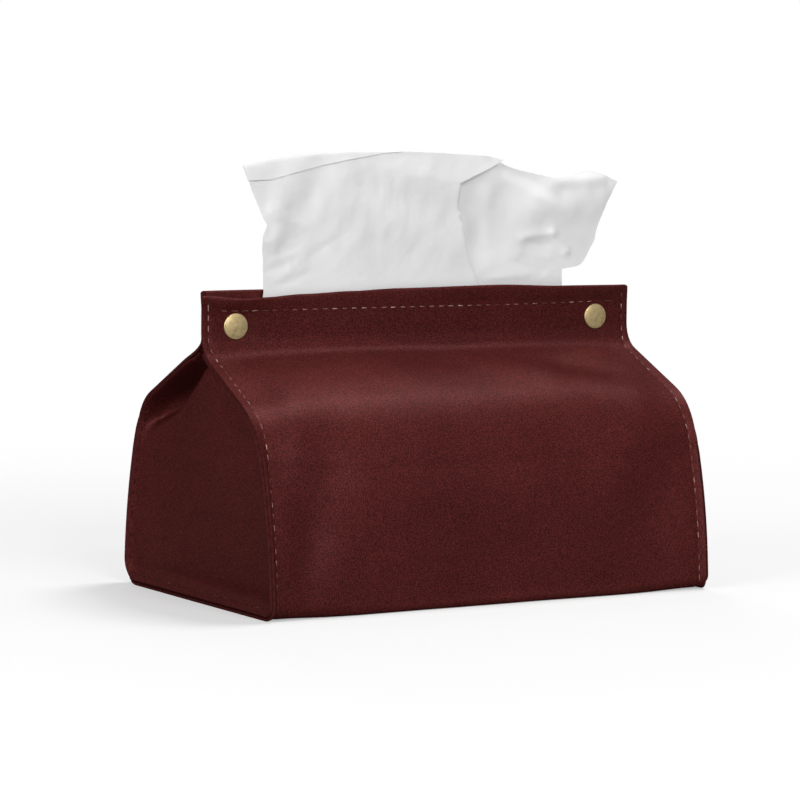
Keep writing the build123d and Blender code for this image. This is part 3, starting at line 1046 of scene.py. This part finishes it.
def turned(name, section, middle, facing):
    """A solid of rings (radius, height) about the Y axis; facing is -1 to the front, 1 to the back."""
    deselect()
    radius, height = section[0]
    bpy.ops.mesh.primitive_circle_add(vertices=cap_sides, radius=radius * MM,
                                      location=(0, 0, height * MM), fill_type="NGON")
    piece = bpy.context.object
    piece.name = piece.data.name = name
    settle(piece)
    bpy.ops.object.mode_set(mode="EDIT")
    bpy.ops.mesh.select_all(action="SELECT")
    for next_radius, next_height in section[1:]:
        rise = (0, 0, (next_height - height) * MM)
        bpy.ops.mesh.extrude_region_move(TRANSFORM_OT_translate={"value": rise})
        share = next_radius / radius
        bpy.ops.transform.resize(value=(share, share, 1), center_override=(0, 0, 0))
        radius, height = next_radius, next_height
    edit_all(piece, bpy.ops.mesh.normals_make_consistent, inside=False)
    piece.rotation_euler = (math.pi / 2 * -facing, 0, 0)
    piece.location = Vector(middle) * MM
    settle(piece)
    sharp_smooth(piece, 35)
    return piece


rim = cap_radius - 0.4
# (mm in from the rim, height), up the edge, over the step and on to the dome
cap_steps = [(0.5, -0.15), (0.12, 0.0), (0.0, 0.2), (0.0, 0.5), (0.12, 0.74), (0.34, 0.9), (0.6, 0.92),
             (0.8, 0.94), (1.1, 1.02), (1.8, 1.14), (2.8, 1.24), (4.0, 1.32), (5.2, 1.36)]
cap_section = [(rim - inwards, height) for inwards, height in cap_steps] + [(0.4, 1.38)]
cap_sunk = 0.3
cap_raised = 0.2
caps = []
for side, x in (("left", -snap_x - 0.5), ("right", snap_x - 1.0)):
    cap = turned(side + "_cap", cap_section, (x, -lip_outer + cap_sunk, snap_height + cap_raised), -1)
    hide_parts(side + "_snap_cap")
    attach(cap, "front_flap")
    caps.append(cap)
print("caps at", round(snap_x, 1), round(snap_height, 1))


# %% [markdown]
# The tissue is one thin sheet, 195 mm square when flat. Its lower end lies turned up on the stack,
# it runs up through the slot, and its free part spreads above the lips. The slot gathers it to
# 156 mm, so the spare width lies in a pleat: the left part laps over the right one. The top left
# strip has turned over to the front. A flat grid is laid along those places row by row; then soft
# folds are added along lines, sharp creases as narrower ones, and small crumples from noise.

# %% tissue outline
stack_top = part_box("tissue_stack")[1][2] / MM
slot_left, slot_right = -79.5, 77.0
slot_fold, slot_under = 31.3, 17.5
tissue_thick = 0.16
layer_gap = 0.4
# (x, height) of upper edges and of the turned-over strip's lower edge
panel_top = [(-88.8, 189.7), (-65.1, 194.3), (-38.8, 195.9), (-14.8, 195.9), (10.0, 195.0), (33.6, 193.7),
             (41.8, 191.8)]
under_top = [(35.0, 189.0), (42.9, 191.3), (56.0, 187.6), (70.3, 183.6), (79.0, 184.4), (88.8, 187.2),
             (98.0, 185.0), (106.4, 182.0)]
strip_foot = [(-88.8, 183.2), (-78.5, 183.6), (-67.8, 186.2), (-52.3, 189.5), (-40.7, 191.8), (-20.3, 195.1),
              (-12.0, 195.5)]
bend_line = [(-48.0, 190.5), (-33.0, 190.0), (-17.0, 188.3), (0.0, 184.6), (10.5, 182.0), (24.0, 181.6),
             (34.0, 186.0), (42.0, 191.0)]
# (height, shift along X) of the pleat's fold, then (height above the lips, x) of the outer edges
fold_line = [(134.0, 0.0), (148.2, -7.4), (160.7, -13.4), (171.9, -19.2), (181.8, -20.6), (191.8, 0.0)]
left_edge = [(0.0, -79.2), (14.0, -79.6), (19.0, -80.6), (24.0, -81.0), (26.7, -80.0), (29.3, -79.0),
             (32.0, -80.6), (41.0, -85.0), (48.0, -88.3), (55.5, -91.6)]
right_edge = [(0.0, 77.0), (7.6, 77.0), (8.2, 83.0), (9.4, 87.4), (12.0, 89.8), (20.0, 95.1), (28.0, 96.7),
              (38.0, 99.6), (44.0, 103.2), (47.0, 106.0)]
strip_ends = -12.0
panel_columns, turn_columns, under_columns = 100, 9, 58


def read(value, table):
    """Reads (place, height) pairs joined by straight lines: float leaves the share as it is."""
    return ramp(value, table, ease=float)


def shares(count):
    return [step / (count - 1) for step in range(count)]


def tissue_columns():
    """(zone, x at the slot, x at the upper edge, height of the edge, layer) for each column."""
    columns = []
    for share in shares(panel_columns):
        top = mix(panel_top[0][0], panel_top[-1][0], share)
        columns.append(("panel", mix(slot_left, slot_fold, share), top, read(top, panel_top), -1.0))
    columns.append(("turn", slot_fold + 0.25, panel_top[-1][0] + 0.25, 191.4, -0.5))
    for share in shares(turn_columns):
        top = mix(panel_top[-1][0], under_top[0][0], share)
        columns.append(("turn", mix(slot_fold, slot_under, share), top, mix(191.0, 189.2, share), 0.0))
    columns.append(("turn", slot_under - 0.25, 34.8, 189.1, 0.5))
    for share in shares(under_columns):
        top = mix(under_top[0][0], under_top[-1][0], share)
        columns.append(("under", mix(slot_under, slot_right, share), top, read(top, under_top), 1.0))
    return columns


columns_of_tissue = tissue_columns()
print("tissue grid", len(columns_of_tissue), "columns")


# %% tissue folds
tissue_folds = [
    # x1, z1, x2, z2, width, height (negative is towards the front)
    (-52, 190, -69, 150, 7, 1.2),
    (-66, 186, -80, 158, 8, -0.8),
    (-72, 158, -60, 138, 6, -1.2),
    (-38, 176, 14, 147, 11, -0.8),
    (-30, 160, 22, 141, 7, 0.5),
    (-20, 178, 12, 168, 12, 0.9),
    (-75, 148.0, -64, 151.5, 1.8, -0.2),
    (-77, 144, -69, 145.5, 1.6, 0.2),
    (-73, 139.5, -66, 143, 1.8, -0.18),
    (-70, 137.5, -58, 142, 2.6, 0.3),
    (-77, 170, -60, 163, 2.6, -0.45),
    (-55, 150, -42, 158, 2.2, 0.35),
]
under_folds = [
    (27, 178, 33, 152, 6, 1.0),
    (36, 176, 37, 142, 5, -0.6),
    (44, 176, 44, 150, 6, 0.5),
    (62, 170, 96, 176, 11, -3.2),
    (70, 181, 96, 184, 3.5, -1.6),
    (47, 188, 74, 178, 4.5, 1.5),
    (56, 157, 71, 158.6, 2.4, -0.9),
    (71, 158.6, 79, 150, 2.2, -1.0),
    (79, 150, 84, 144, 2.6, -0.5),
    (60, 150, 84, 138, 6, 1.5),
    (54, 150, 70, 147, 1.8, -0.35),
    (50, 145.5, 66, 141, 1.9, 0.3),
    (40, 138, 56, 140, 2.4, -0.3),
    (58, 154, 69, 152.5, 1.6, 0.25),
]


def tissue_bend(x, z, zone):
    """How far the free part stands behind the slot's plane, in mm."""
    free = smoothstep((z - lip_top - 0.5) / 22)
    small = smoothstep((z - lip_top + 0.5) / 5)
    total = 0.0
    for fold in under_folds if zone == "under" else tissue_folds:
        total += bump_line(x, z, *fold) * (small if fold[4] <= 3 else free)
    total += free * noise.noise(Vector((x / 21, z / 30, 2.0)))
    total += free * 0.4 * noise.noise(Vector((x / 7, z / 10, 4.0)))
    total += small * 0.10 * noise.noise(Vector((x / 2.6, z / 3.1, 7.0)))
    over = z - ramp(x, bend_line)
    if zone == "panel" and x > -50:
        share = smoothstep((x + 50) / 26)
        total += share * -0.7 * math.exp(-((over + 0.5) / (7.0 if over < 0 else 5.0)) ** 2)
    total -= free * 2.2 * smoothstep((z - 150) / 40)
    return total


rows_in_slot = [stack_top + 2.6, 78, 83, 90, 97, 104, 111, 118, 124, 129, 132.5]
rows_of_return = [107.0, 101.0, 95.0, 89.0, 83.0, 78.0]
turn_middle = 1.5
turn_steps = [0, 30, 60, 90, 120, 150]
rows_free = 96
free_foot = 134.4
rows_strip = [0.0, 0.06, 0.2, 0.4, 0.6, 0.8, 1.0]
strip_proud = 0.42


def tissue_point(column, row):
    zone, low_x, top_x, top_z, layer = columns_of_tissue[column]
    y = layer * layer_gap
    if row < len(rows_of_return):
        return Vector((low_x, 2 * turn_middle - y, rows_of_return[row]))
    row -= len(rows_of_return)
    if row < len(turn_steps):
        angle = math.radians(turn_steps[row])
        reach = turn_middle - y
        foot = stack_top + 0.35 + turn_middle + layer_gap + tissue_thick
        return Vector((low_x, turn_middle + reach * math.cos(angle), foot - reach * math.sin(angle)))
    row -= len(turn_steps)
    if row < len(rows_in_slot):
        return Vector((low_x, y, max(rows_in_slot[row], rows_in_slot[0])))
    row -= len(rows_in_slot)
    up = min(row, rows_free - 1) / (rows_free - 1)
    rise = (top_z - free_foot) * up
    z = free_foot + rise
    spread = smoothstep(up) * 0.35 + up * 0.65
    x = mix(low_x, top_x, spread)
    shift = read(z, fold_line)
    if zone == "panel":
        straight = mix(slot_left, panel_top[0][0], spread)
        from_left = (x - straight) / 110
        x += (read(rise, left_edge) - straight) * (1 - smoothstep(from_left / 0.35))
        x += shift * smoothstep((from_left - 0.45) / 0.55)
    elif zone == "turn":
        x += shift
    else:
        from_fold = (x - mix(slot_under, under_top[0][0], spread)) / 62
        straight = mix(slot_right, under_top[-1][0], spread)
        x += shift * (1 - smoothstep(from_fold / 0.6))
        x += (read(rise, right_edge) - straight) * smoothstep((from_fold - 0.45) / 0.55)
    apart = 1 + 2.2 * smoothstep((z - 140) / 25)
    y = y * apart + tissue_bend(x, z, "under" if zone == "under" else "panel")
    if zone == "under":
        y += 0.6 * smoothstep((z - 150) / 20)
    if row >= rows_free and zone == "panel" and x < strip_ends:
        down = rows_strip[row - rows_free + 1]
        depth = max(z - read(x, strip_foot), 0.0)
        if depth:
            y += tissue_bend(x, z - depth * down, "panel") - tissue_bend(x, z, "panel")
            edge = read(rise - depth * down, left_edge) - read(rise, left_edge)
            x += 0.75 * edge * (1 - smoothstep((x + 89) / 30))
        y -= min(depth, strip_proud) * math.sin(math.pi * min(down / 0.2, 1) / 2) * (0.7 + 0.5 * down)
        z -= depth * down
    return Vector((x, y, z))


def make_tissue():
    rows = len(rows_of_return) + len(turn_steps) + len(rows_in_slot) + rows_free + len(rows_strip) - 1
    columns = len(columns_of_tissue)
    sheet = flat_sheet("standing_tissue", columns, rows)
    bend_sheet(sheet, columns, rows, tissue_point)
    edit_all(sheet, bpy.ops.mesh.remove_doubles, threshold=0.03 * MM)
    return sheet


standing_tissue = make_tissue()
thicken(standing_tissue, tissue_thick, 0)
sharp_smooth(standing_tissue, 70)
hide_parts("tissue_sheet")
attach(standing_tissue, "tissue")
print("tissue", len(standing_tissue.data.polygons), "faces")


# %% [markdown]
# Materials are node based, and each is a pattern that picks a tone and raises the surface. They are
# laid in Object coordinates, which are real metres here, so a grain has its true size on every
# piece. Most helpers below add one node and return its output, which keeps a material short.

# %% helpers for materials
def set_sockets(tree, node, values):
    """Sets a node's sockets: an output is linked to its socket, and a plain value is written there."""
    for name, value in values.items():
        if isinstance(value, bpy.types.NodeSocket):
            tree.links.new(value, node.inputs[name])
        else:
            node.inputs[name].default_value = value


def add_node(tree, kind, values):
    node = tree.nodes.new("ShaderNode" + kind)
    set_sockets(tree, node, values)
    return node


def emptied(owner):
    """The node tree of a material or world, with nothing in it."""
    owner.use_nodes = True
    owner.node_tree.nodes.clear()
    return owner.node_tree


def fresh(name):
    """An empty material of that name: (material, its nodes, its shader, its coordinates)."""
    material = bpy.data.materials.get(name) or bpy.data.materials.new(name)
    tree = emptied(material)
    out = tree.nodes.new("ShaderNodeOutputMaterial")
    shader = tree.nodes.new("ShaderNodeBsdfPrincipled")
    tree.links.new(shader.outputs["BSDF"], out.inputs["Surface"])
    return material, tree, shader, tree.nodes.new("ShaderNodeTexCoord").outputs["Object"]


def noise_at(tree, place, scale, detail, rough, stretch=None):
    if stretch:
        place = add_node(tree, "Mapping", {"Vector": place, "Scale": stretch}).outputs["Vector"]
    values = {"Vector": place, "Scale": scale, "Detail": detail, "Roughness": rough}
    return add_node(tree, "TexNoise", values).outputs["Fac"]


def tone(tree, factor, stops):
    """Colours along a pattern: stops are (place from 0 to 1, colour)."""
    node = add_node(tree, "ValToRGB", {"Fac": factor})
    elements = node.color_ramp.elements
    while len(elements) < len(stops):
        elements.new(0.5)
    for element, (at, colour) in zip(elements, stops):
        element.position = at
        element.color = (*colour, 1)
    return node.outputs["Color"]


def ranged(tree, factor, low, high, to_low, to_high):
    values = {"Value": factor, "From Min": low, "From Max": high, "To Min": to_low, "To Max": to_high}
    return add_node(tree, "MapRange", values).outputs["Result"]


def bumped(tree, height, strength, distance, below=None):
    """Raises the surface by a pattern, over another bump where one is given; distance in mm."""
    values = {"Height": height, "Strength": strength, "Distance": distance * MM}
    if below:
        values["Normal"] = below
    return add_node(tree, "Bump", values).outputs["Normal"]


def shaded(tree, colour, factor):
    """The colour, times a number that changes over the surface."""
    node = tree.nodes.new("ShaderNodeMix")
    node.data_type = "RGBA"
    node.blend_type = "MULTIPLY"
    set_sockets(tree, node, {"Factor": 1.0, "A": colour, "B": factor})
    return node.outputs["Result"]


def plain_finish(name, pattern, stops, values, bumps=(), rough=None):
    """One noise pattern picks the tone, and the roughness too where rough gives its range. Bumps are
    (pattern, strength, distance in mm), from the lowest to the topmost."""
    material, tree, shader, place = fresh(name)
    factor = noise_at(tree, place, *pattern)
    set_sockets(tree, shader, {"Base Color": tone(tree, factor, stops), **values})
    if rough:
        set_sockets(tree, shader, {"Roughness": ranged(tree, factor, 0.3, 0.7, *rough)})
    normal = None
    for relief, strength, distance in bumps:
        normal = bumped(tree, noise_at(tree, place, *relief), strength, distance, normal)
        set_sockets(tree, shader, {"Normal": normal})
    return material


print("materials so far", sorted(material.name for material in bpy.data.materials))


# %% [markdown]
# The leather is a deep burgundy hide with a fine pebbled grain: small cells and pores darken and
# raise it, a softer noise breaks them up, and its tone changes slowly where it was dyed. A little
# metallic tint gives the coloured sheen of waxed leather, and a thin coat lies on top. Its cut edge
# is dull and fibrous. The thread is the same on every seam: on the front and back its pale patches
# are painted glints, and on the gussets a darker copy of it is painted shade.

# %% leather and thread
def leather_material():
    material, tree, shader, place = fresh("leather")
    dye = noise_at(tree, place, 14, 4, 0.6)
    pebbles = add_node(tree, "TexVoronoi", {"Vector": place, "Scale": 1750}).outputs["Distance"]
    pores = noise_at(tree, place, 2200, 2, 0.6)
    colour = tone(tree, dye, [(0.30, (0.081, 0.0130, 0.0118)), (0.52, (0.096, 0.0156, 0.0140)),
                              (0.75, (0.110, 0.0190, 0.0171))])
    colour = shaded(tree, colour, ranged(tree, pebbles, 0.08, 0.62, 1.46, 0.53))
    colour = shaded(tree, colour, ranged(tree, pores, 0.30, 0.70, 0.63, 1.35))
    normal = bumped(tree, noise_at(tree, place, 60, 4, 0.6), 0.25, 0.5)
    normal = bumped(tree, noise_at(tree, place, 420, 3, 0.6), 0.4, 0.16, normal)
    normal = bumped(tree, pebbles, -0.8, 0.25, normal)
    set_sockets(tree, shader, {"Base Color": colour, "Normal": normal, "Metallic": 0.36,
                               "Roughness": ranged(tree, pores, 0.3, 0.7, 0.66, 0.42),
                               "Specular IOR Level": 0.0, "Specular Tint": (0.4, 0.12, 0.11, 1),
                               "Coat Weight": 0.13, "Coat Roughness": 0.45})
    return material


def edge_material():
    fibre = (500, 4, 0.6)
    return plain_finish("cut_edge", fibre, [(0.3, (0.040, 0.0085, 0.0078)), (0.7, (0.070, 0.016, 0.015))],
                        {"Roughness": 0.8, "Specular IOR Level": 0.0}, [(fibre, 0.4, 0.1)])


# The pale stop of a thread's tone stands for painted glints.
def thread_material(name, dark, middle, pale):
    strands = (2400, 2, 0.5)
    return plain_finish(name, (170, 2, 0.5), [(0.38, dark), (0.53, middle), (0.66, pale)],
                        {"Roughness": 0.7, "Specular IOR Level": 0.1}, [(strands, 0.4, 0.06)])


def dress(pieces, finish):
    for piece in pieces:
        piece.data.materials.clear()
        piece.data.materials.append(finish)


leather_material()
edge_material()
# The front and back rows' thread has pale patches that are painted glints.
thread_with_painted_glints = thread_material("thread", (0.11, 0.030, 0.026), (0.24, 0.115, 0.095), (0.48, 0.31, 0.26))
# The gusset rows get a darker copy of the same thread, which is painted shade.
painted_shade_thread = thread_material("end_thread", (0.020, 0.005, 0.005), (0.045, 0.011, 0.010),
                              (0.12, 0.040, 0.030))
dress((front_stitches, back_stitches), thread_with_painted_glints)
dress((left_stitches, right_stitches), painted_shade_thread)
print("leather materials on", [slot.name for slot in front_leather.material_slots])


# %% [markdown]
# The press studs are worn brass, blotched where handling has dulled it, and the springs inside their
# sockets are bright steel. Both get their roughness from the same pattern as their tone, as tarnish
# does. The CAD's own sockets, studs and posts wear them too.

# %% brass and steel
def brass_material():
    stops = [(0.30, (0.39, 0.28, 0.13)), (0.50, (0.56, 0.43, 0.22)), (0.70, (0.64, 0.51, 0.28))]
    return plain_finish("brass", (520, 5, 0.65), stops, {"Metallic": 0.9}, [((1800, 3, 0.6), 0.15, 0.05)],
                        rough=(0.48, 0.34))


def steel_material():
    stops = [(0.3, (0.46, 0.47, 0.48)), (0.7, (0.60, 0.61, 0.62))]
    return plain_finish("spring_steel", (1200, 3, 0.6), stops, {"Metallic": 1.0}, rough=(0.22, 0.36))


brass_nodes = [side + part for side in ("left", "right")
               for part in ("_snap_socket", "_snap_stud", "_snap_post")]
dress(caps + [frame["nodes"][name] for name in brass_nodes], brass_material())
dress([frame["nodes"][side + "_socket_spring"] for side in ("left", "right")], steel_material())
print("brass on", len(caps) + len(brass_nodes), "pieces")


# %% [markdown]
# Tissue is white, matt and slightly crumpled, with fibres that only show close up. The stack has fine
# layers, drawn by a noise that is stretched flat. The film is a thin, glossy and half clear skin, the
# lining a dark cloth of threads that cross, and the board a plain grey-brown card.

# %% paper, film, cloth and board
def tissue_material():
    crumple, fibre = (75, 4, 0.55), (1300, 3, 0.6)
    return plain_finish("tissue", (30, 4, 0.6), [(0.3, (0.80, 0.80, 0.805)), (0.7, (0.85, 0.85, 0.85))],
                        {"Roughness": 0.95, "Specular IOR Level": 0.15},
                        [(crumple, 0.25, 0.5), (fibre, 0.15, 0.05)])


def stack_material():
    layers = (900, 3, 0.6, (0.03, 0.03, 1.0))
    return plain_finish("stack", layers, [(0.35, (0.66, 0.66, 0.66)), (0.65, (0.86, 0.86, 0.86))],
                        {"Roughness": 0.95}, [(layers, 0.6, 0.3)])


def film_material():
    return plain_finish("film", (60, 3, 0.5), [(0.3, (0.66, 0.70, 0.73)), (0.7, (0.78, 0.80, 0.82))],
                        {"Roughness": 0.28, "Alpha": 0.55}, [((220, 4, 0.6), 0.4, 0.4)])


def board_material():
    fibre = (260, 4, 0.65)
    return plain_finish("board", fibre, [(0.3, (0.22, 0.19, 0.15)), (0.7, (0.34, 0.30, 0.25))],
                        {"Roughness": 0.9}, [(fibre, 0.3, 0.1)])


def lining_material():
    material, tree, shader, place = fresh("lining")
    worn = noise_at(tree, place, 40, 3, 0.5)
    along = noise_at(tree, place, 1500, 1, 0.4, (1.0, 0.08, 0.08))
    across = noise_at(tree, place, 1500, 1, 0.4, (0.08, 1.0, 1.0))
    colour = tone(tree, worn, [(0.3, (0.020, 0.016, 0.015)), (0.7, (0.034, 0.027, 0.025))])
    colour = shaded(tree, colour, ranged(tree, along, 0.35, 0.65, 0.75, 1.25))
    weave = bumped(tree, across, 0.5, 0.1, bumped(tree, along, 0.5, 0.1))
    set_sockets(tree, shader, {"Base Color": colour, "Normal": weave, "Roughness": 0.9, "Sheen Weight": 0.2})
    return material


dress([standing_tissue], tissue_material())
dress([layered_stack], stack_material())
dress([pack_film], film_material())
dress([frame["nodes"]["base_board"]], board_material())
dress(linings, lining_material())
print("materials", len(bpy.data.materials))


# %% [markdown]
# The wrap leather, the stitches on it and its lining have their place put into their meshes and
# ride on no body. Everything else rides on one body. The CAD nodes that the new pieces stand for
# are hidden.


def across_fold(piece):
    """Puts the piece's place into its mesh."""
    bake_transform(piece)


for piece in (front_leather, front_stitches, front_lining):
    across_fold(piece)
for piece in (back_leather, back_stitches, back_lining):
    across_fold(piece)
for piece in (left_gusset_leather, right_gusset_leather, left_stitches, right_stitches,
              left_gusset_cloth, right_gusset_cloth, pack_film, layered_stack):
    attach(piece, "cover")
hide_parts("wrap_panel", "front_lip")
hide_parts("wrap_panel", "back_lip")
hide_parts("wrap_lining", "front_lip_lining")
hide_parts("wrap_lining", "back_lip_lining")
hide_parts("left_gusset")
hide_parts("right_gusset")
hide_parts("left_gusset_lining")
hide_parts("right_gusset_lining")
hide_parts("front_hem_thread")
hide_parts("back_hem_thread")
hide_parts("left_end_thread")
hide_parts("right_end_thread")
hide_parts("tissue_pack_film")
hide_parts("tissue_stack")


# %% [markdown]
# The cover stands on a plain pale floor. To the camera the floor mixes in more and more white away
# from the cover, so that the background is white and only the shadow shows.

# %% floor
def worked(tree, operation, first, second):
    """A math node on two outputs, or on an output and a number."""
    node = add_node(tree, "Math", {0: first, 1: second})
    node.operation = operation
    return node.outputs["Value"]


def floor_material():
    """Pale and matt. To the camera it turns plain white away from the cover."""
    material = bpy.data.materials.new("studio_floor")
    tree = emptied(material)
    camera_ray = tree.nodes.new("ShaderNodeLightPath").outputs["Is Camera Ray"]
    pale = tree.nodes.new("ShaderNodeMix")
    pale.data_type = "RGBA"
    set_sockets(tree, pale, {"Factor": camera_ray, "A": (0.40, 0.40, 0.40, 1), "B": (0.88, 0.88, 0.88, 1)})
    lit = add_node(tree, "BsdfDiffuse", {"Color": pale.outputs["Result"]})
    white = tree.nodes.new("ShaderNodeEmission")
    length = add_node(tree, "VectorMath", {0: tree.nodes.new("ShaderNodeTexCoord").outputs["Object"]})
    length.operation = "LENGTH"
    far = ranged(tree, length.outputs["Value"], 0.18, 0.75, 0.4, 1.0)
    far.node.interpolation_type = "SMOOTHSTEP"
    both = add_node(tree, "MixShader", {0: worked(tree, "MULTIPLY", camera_ray, far),
                                        1: lit.outputs["BSDF"], 2: white.outputs["Emission"]})
    add_node(tree, "OutputMaterial", {"Surface": both.outputs["Shader"]})
    return material


deselect()
bpy.ops.mesh.primitive_plane_add(size=12)
studio_floor = bpy.context.object
studio_floor.name = "studio_floor"
dress([studio_floor], floor_material())
print("floor", studio_floor.dimensions.x, "m wide")


# %% [markdown]
# Four softboxes light the leather. The key lamp hangs above and to the right, so the shoulder is the
# brightest place. A broad one stands in front, and weaker ones fill the left end and the back. Their
# power is worked out from how brightly each would light a white card. The camera stands where the
# outline of the cover agrees with the photograph.

# %% light and camera
lamp_target = Vector((0, 0, 0.07))
lamp_distance = 1.5


def lamp_from(name, direction, size, strength):
    """A softbox that lights a white card facing it with the given strength."""
    towards = Vector(direction).normalized()
    deselect()
    bpy.ops.object.light_add(type="AREA", location=towards * lamp_distance + lamp_target)
    lamp = bpy.context.object
    lamp.name = name
    lamp.data.shape = "RECTANGLE"
    lamp.data.size, lamp.data.size_y = size
    lamp.data.energy = strength * math.pi * math.pi * lamp_distance ** 2
    lamp.rotation_euler = (-towards).to_track_quat("-Z", "Y").to_euler()


lamp_from("key_softbox", (0.36, 0.02, 0.92), (0.55, 0.55), 0.60)
lamp_from("front_softbox", (-0.10, -0.84, 0.42), (0.8, 0.8), 0.57)
lamp_from("left_fill", (-0.92, -0.26, 0.26), (0.8, 0.7), 0.50)
lamp_from("back_fill", (0.30, 0.90, 0.22), (0.8, 0.7), 0.42)


def make_world():
    """White to the camera and through clear film, dimmer in reflections, faint as light."""
    world = bpy.data.worlds.new("studio")
    bpy.context.scene.world = world
    tree = emptied(world)
    ray = tree.nodes.new("ShaderNodeLightPath").outputs
    clear = worked(tree, "MAXIMUM", ray["Is Camera Ray"], ray["Is Transmission Ray"])
    bright = worked(tree, "MAXIMUM", clear, worked(tree, "MULTIPLY", ray["Is Glossy Ray"], 0.4))
    light = add_node(tree, "Background", {"Color": (1, 1, 1, 1),
                                          "Strength": ranged(tree, bright, 0.0, 1.0, 0.13, 1.0)})
    add_node(tree, "OutputWorld", {"Surface": light.outputs["Background"]})


make_world()


camera_place = Vector((-803.72, -1338.35, 219.34))
camera_turn = (30.697, 4.950, 0.530)  # to its right, down and rolled, in degrees
camera_lens = 156.78


def make_camera():
    deselect()
    bpy.ops.object.camera_add()
    camera = bpy.context.object
    camera.name = "photo_camera"
    camera.data.sensor_width = 36
    camera.data.lens = camera_lens
    camera.data.clip_start, camera.data.clip_end = 0.05, 50
    yaw, pitch, roll = (math.radians(angle) for angle in camera_turn)
    forward = Vector((math.sin(yaw) * math.cos(pitch), math.cos(yaw) * math.cos(pitch), -math.sin(pitch)))
    level = Vector((math.cos(yaw), -math.sin(yaw), 0))
    above = level.cross(forward)
    right = math.cos(roll) * level + math.sin(roll) * above
    up = -math.sin(roll) * level + math.cos(roll) * above
    turn = Matrix((right, up, -forward)).transposed().to_4x4()
    camera.matrix_world = Matrix.Translation(camera_place * MM) @ turn
    bpy.context.scene.camera = camera


make_camera()
bpy.context.scene.view_settings.view_transform = "Standard"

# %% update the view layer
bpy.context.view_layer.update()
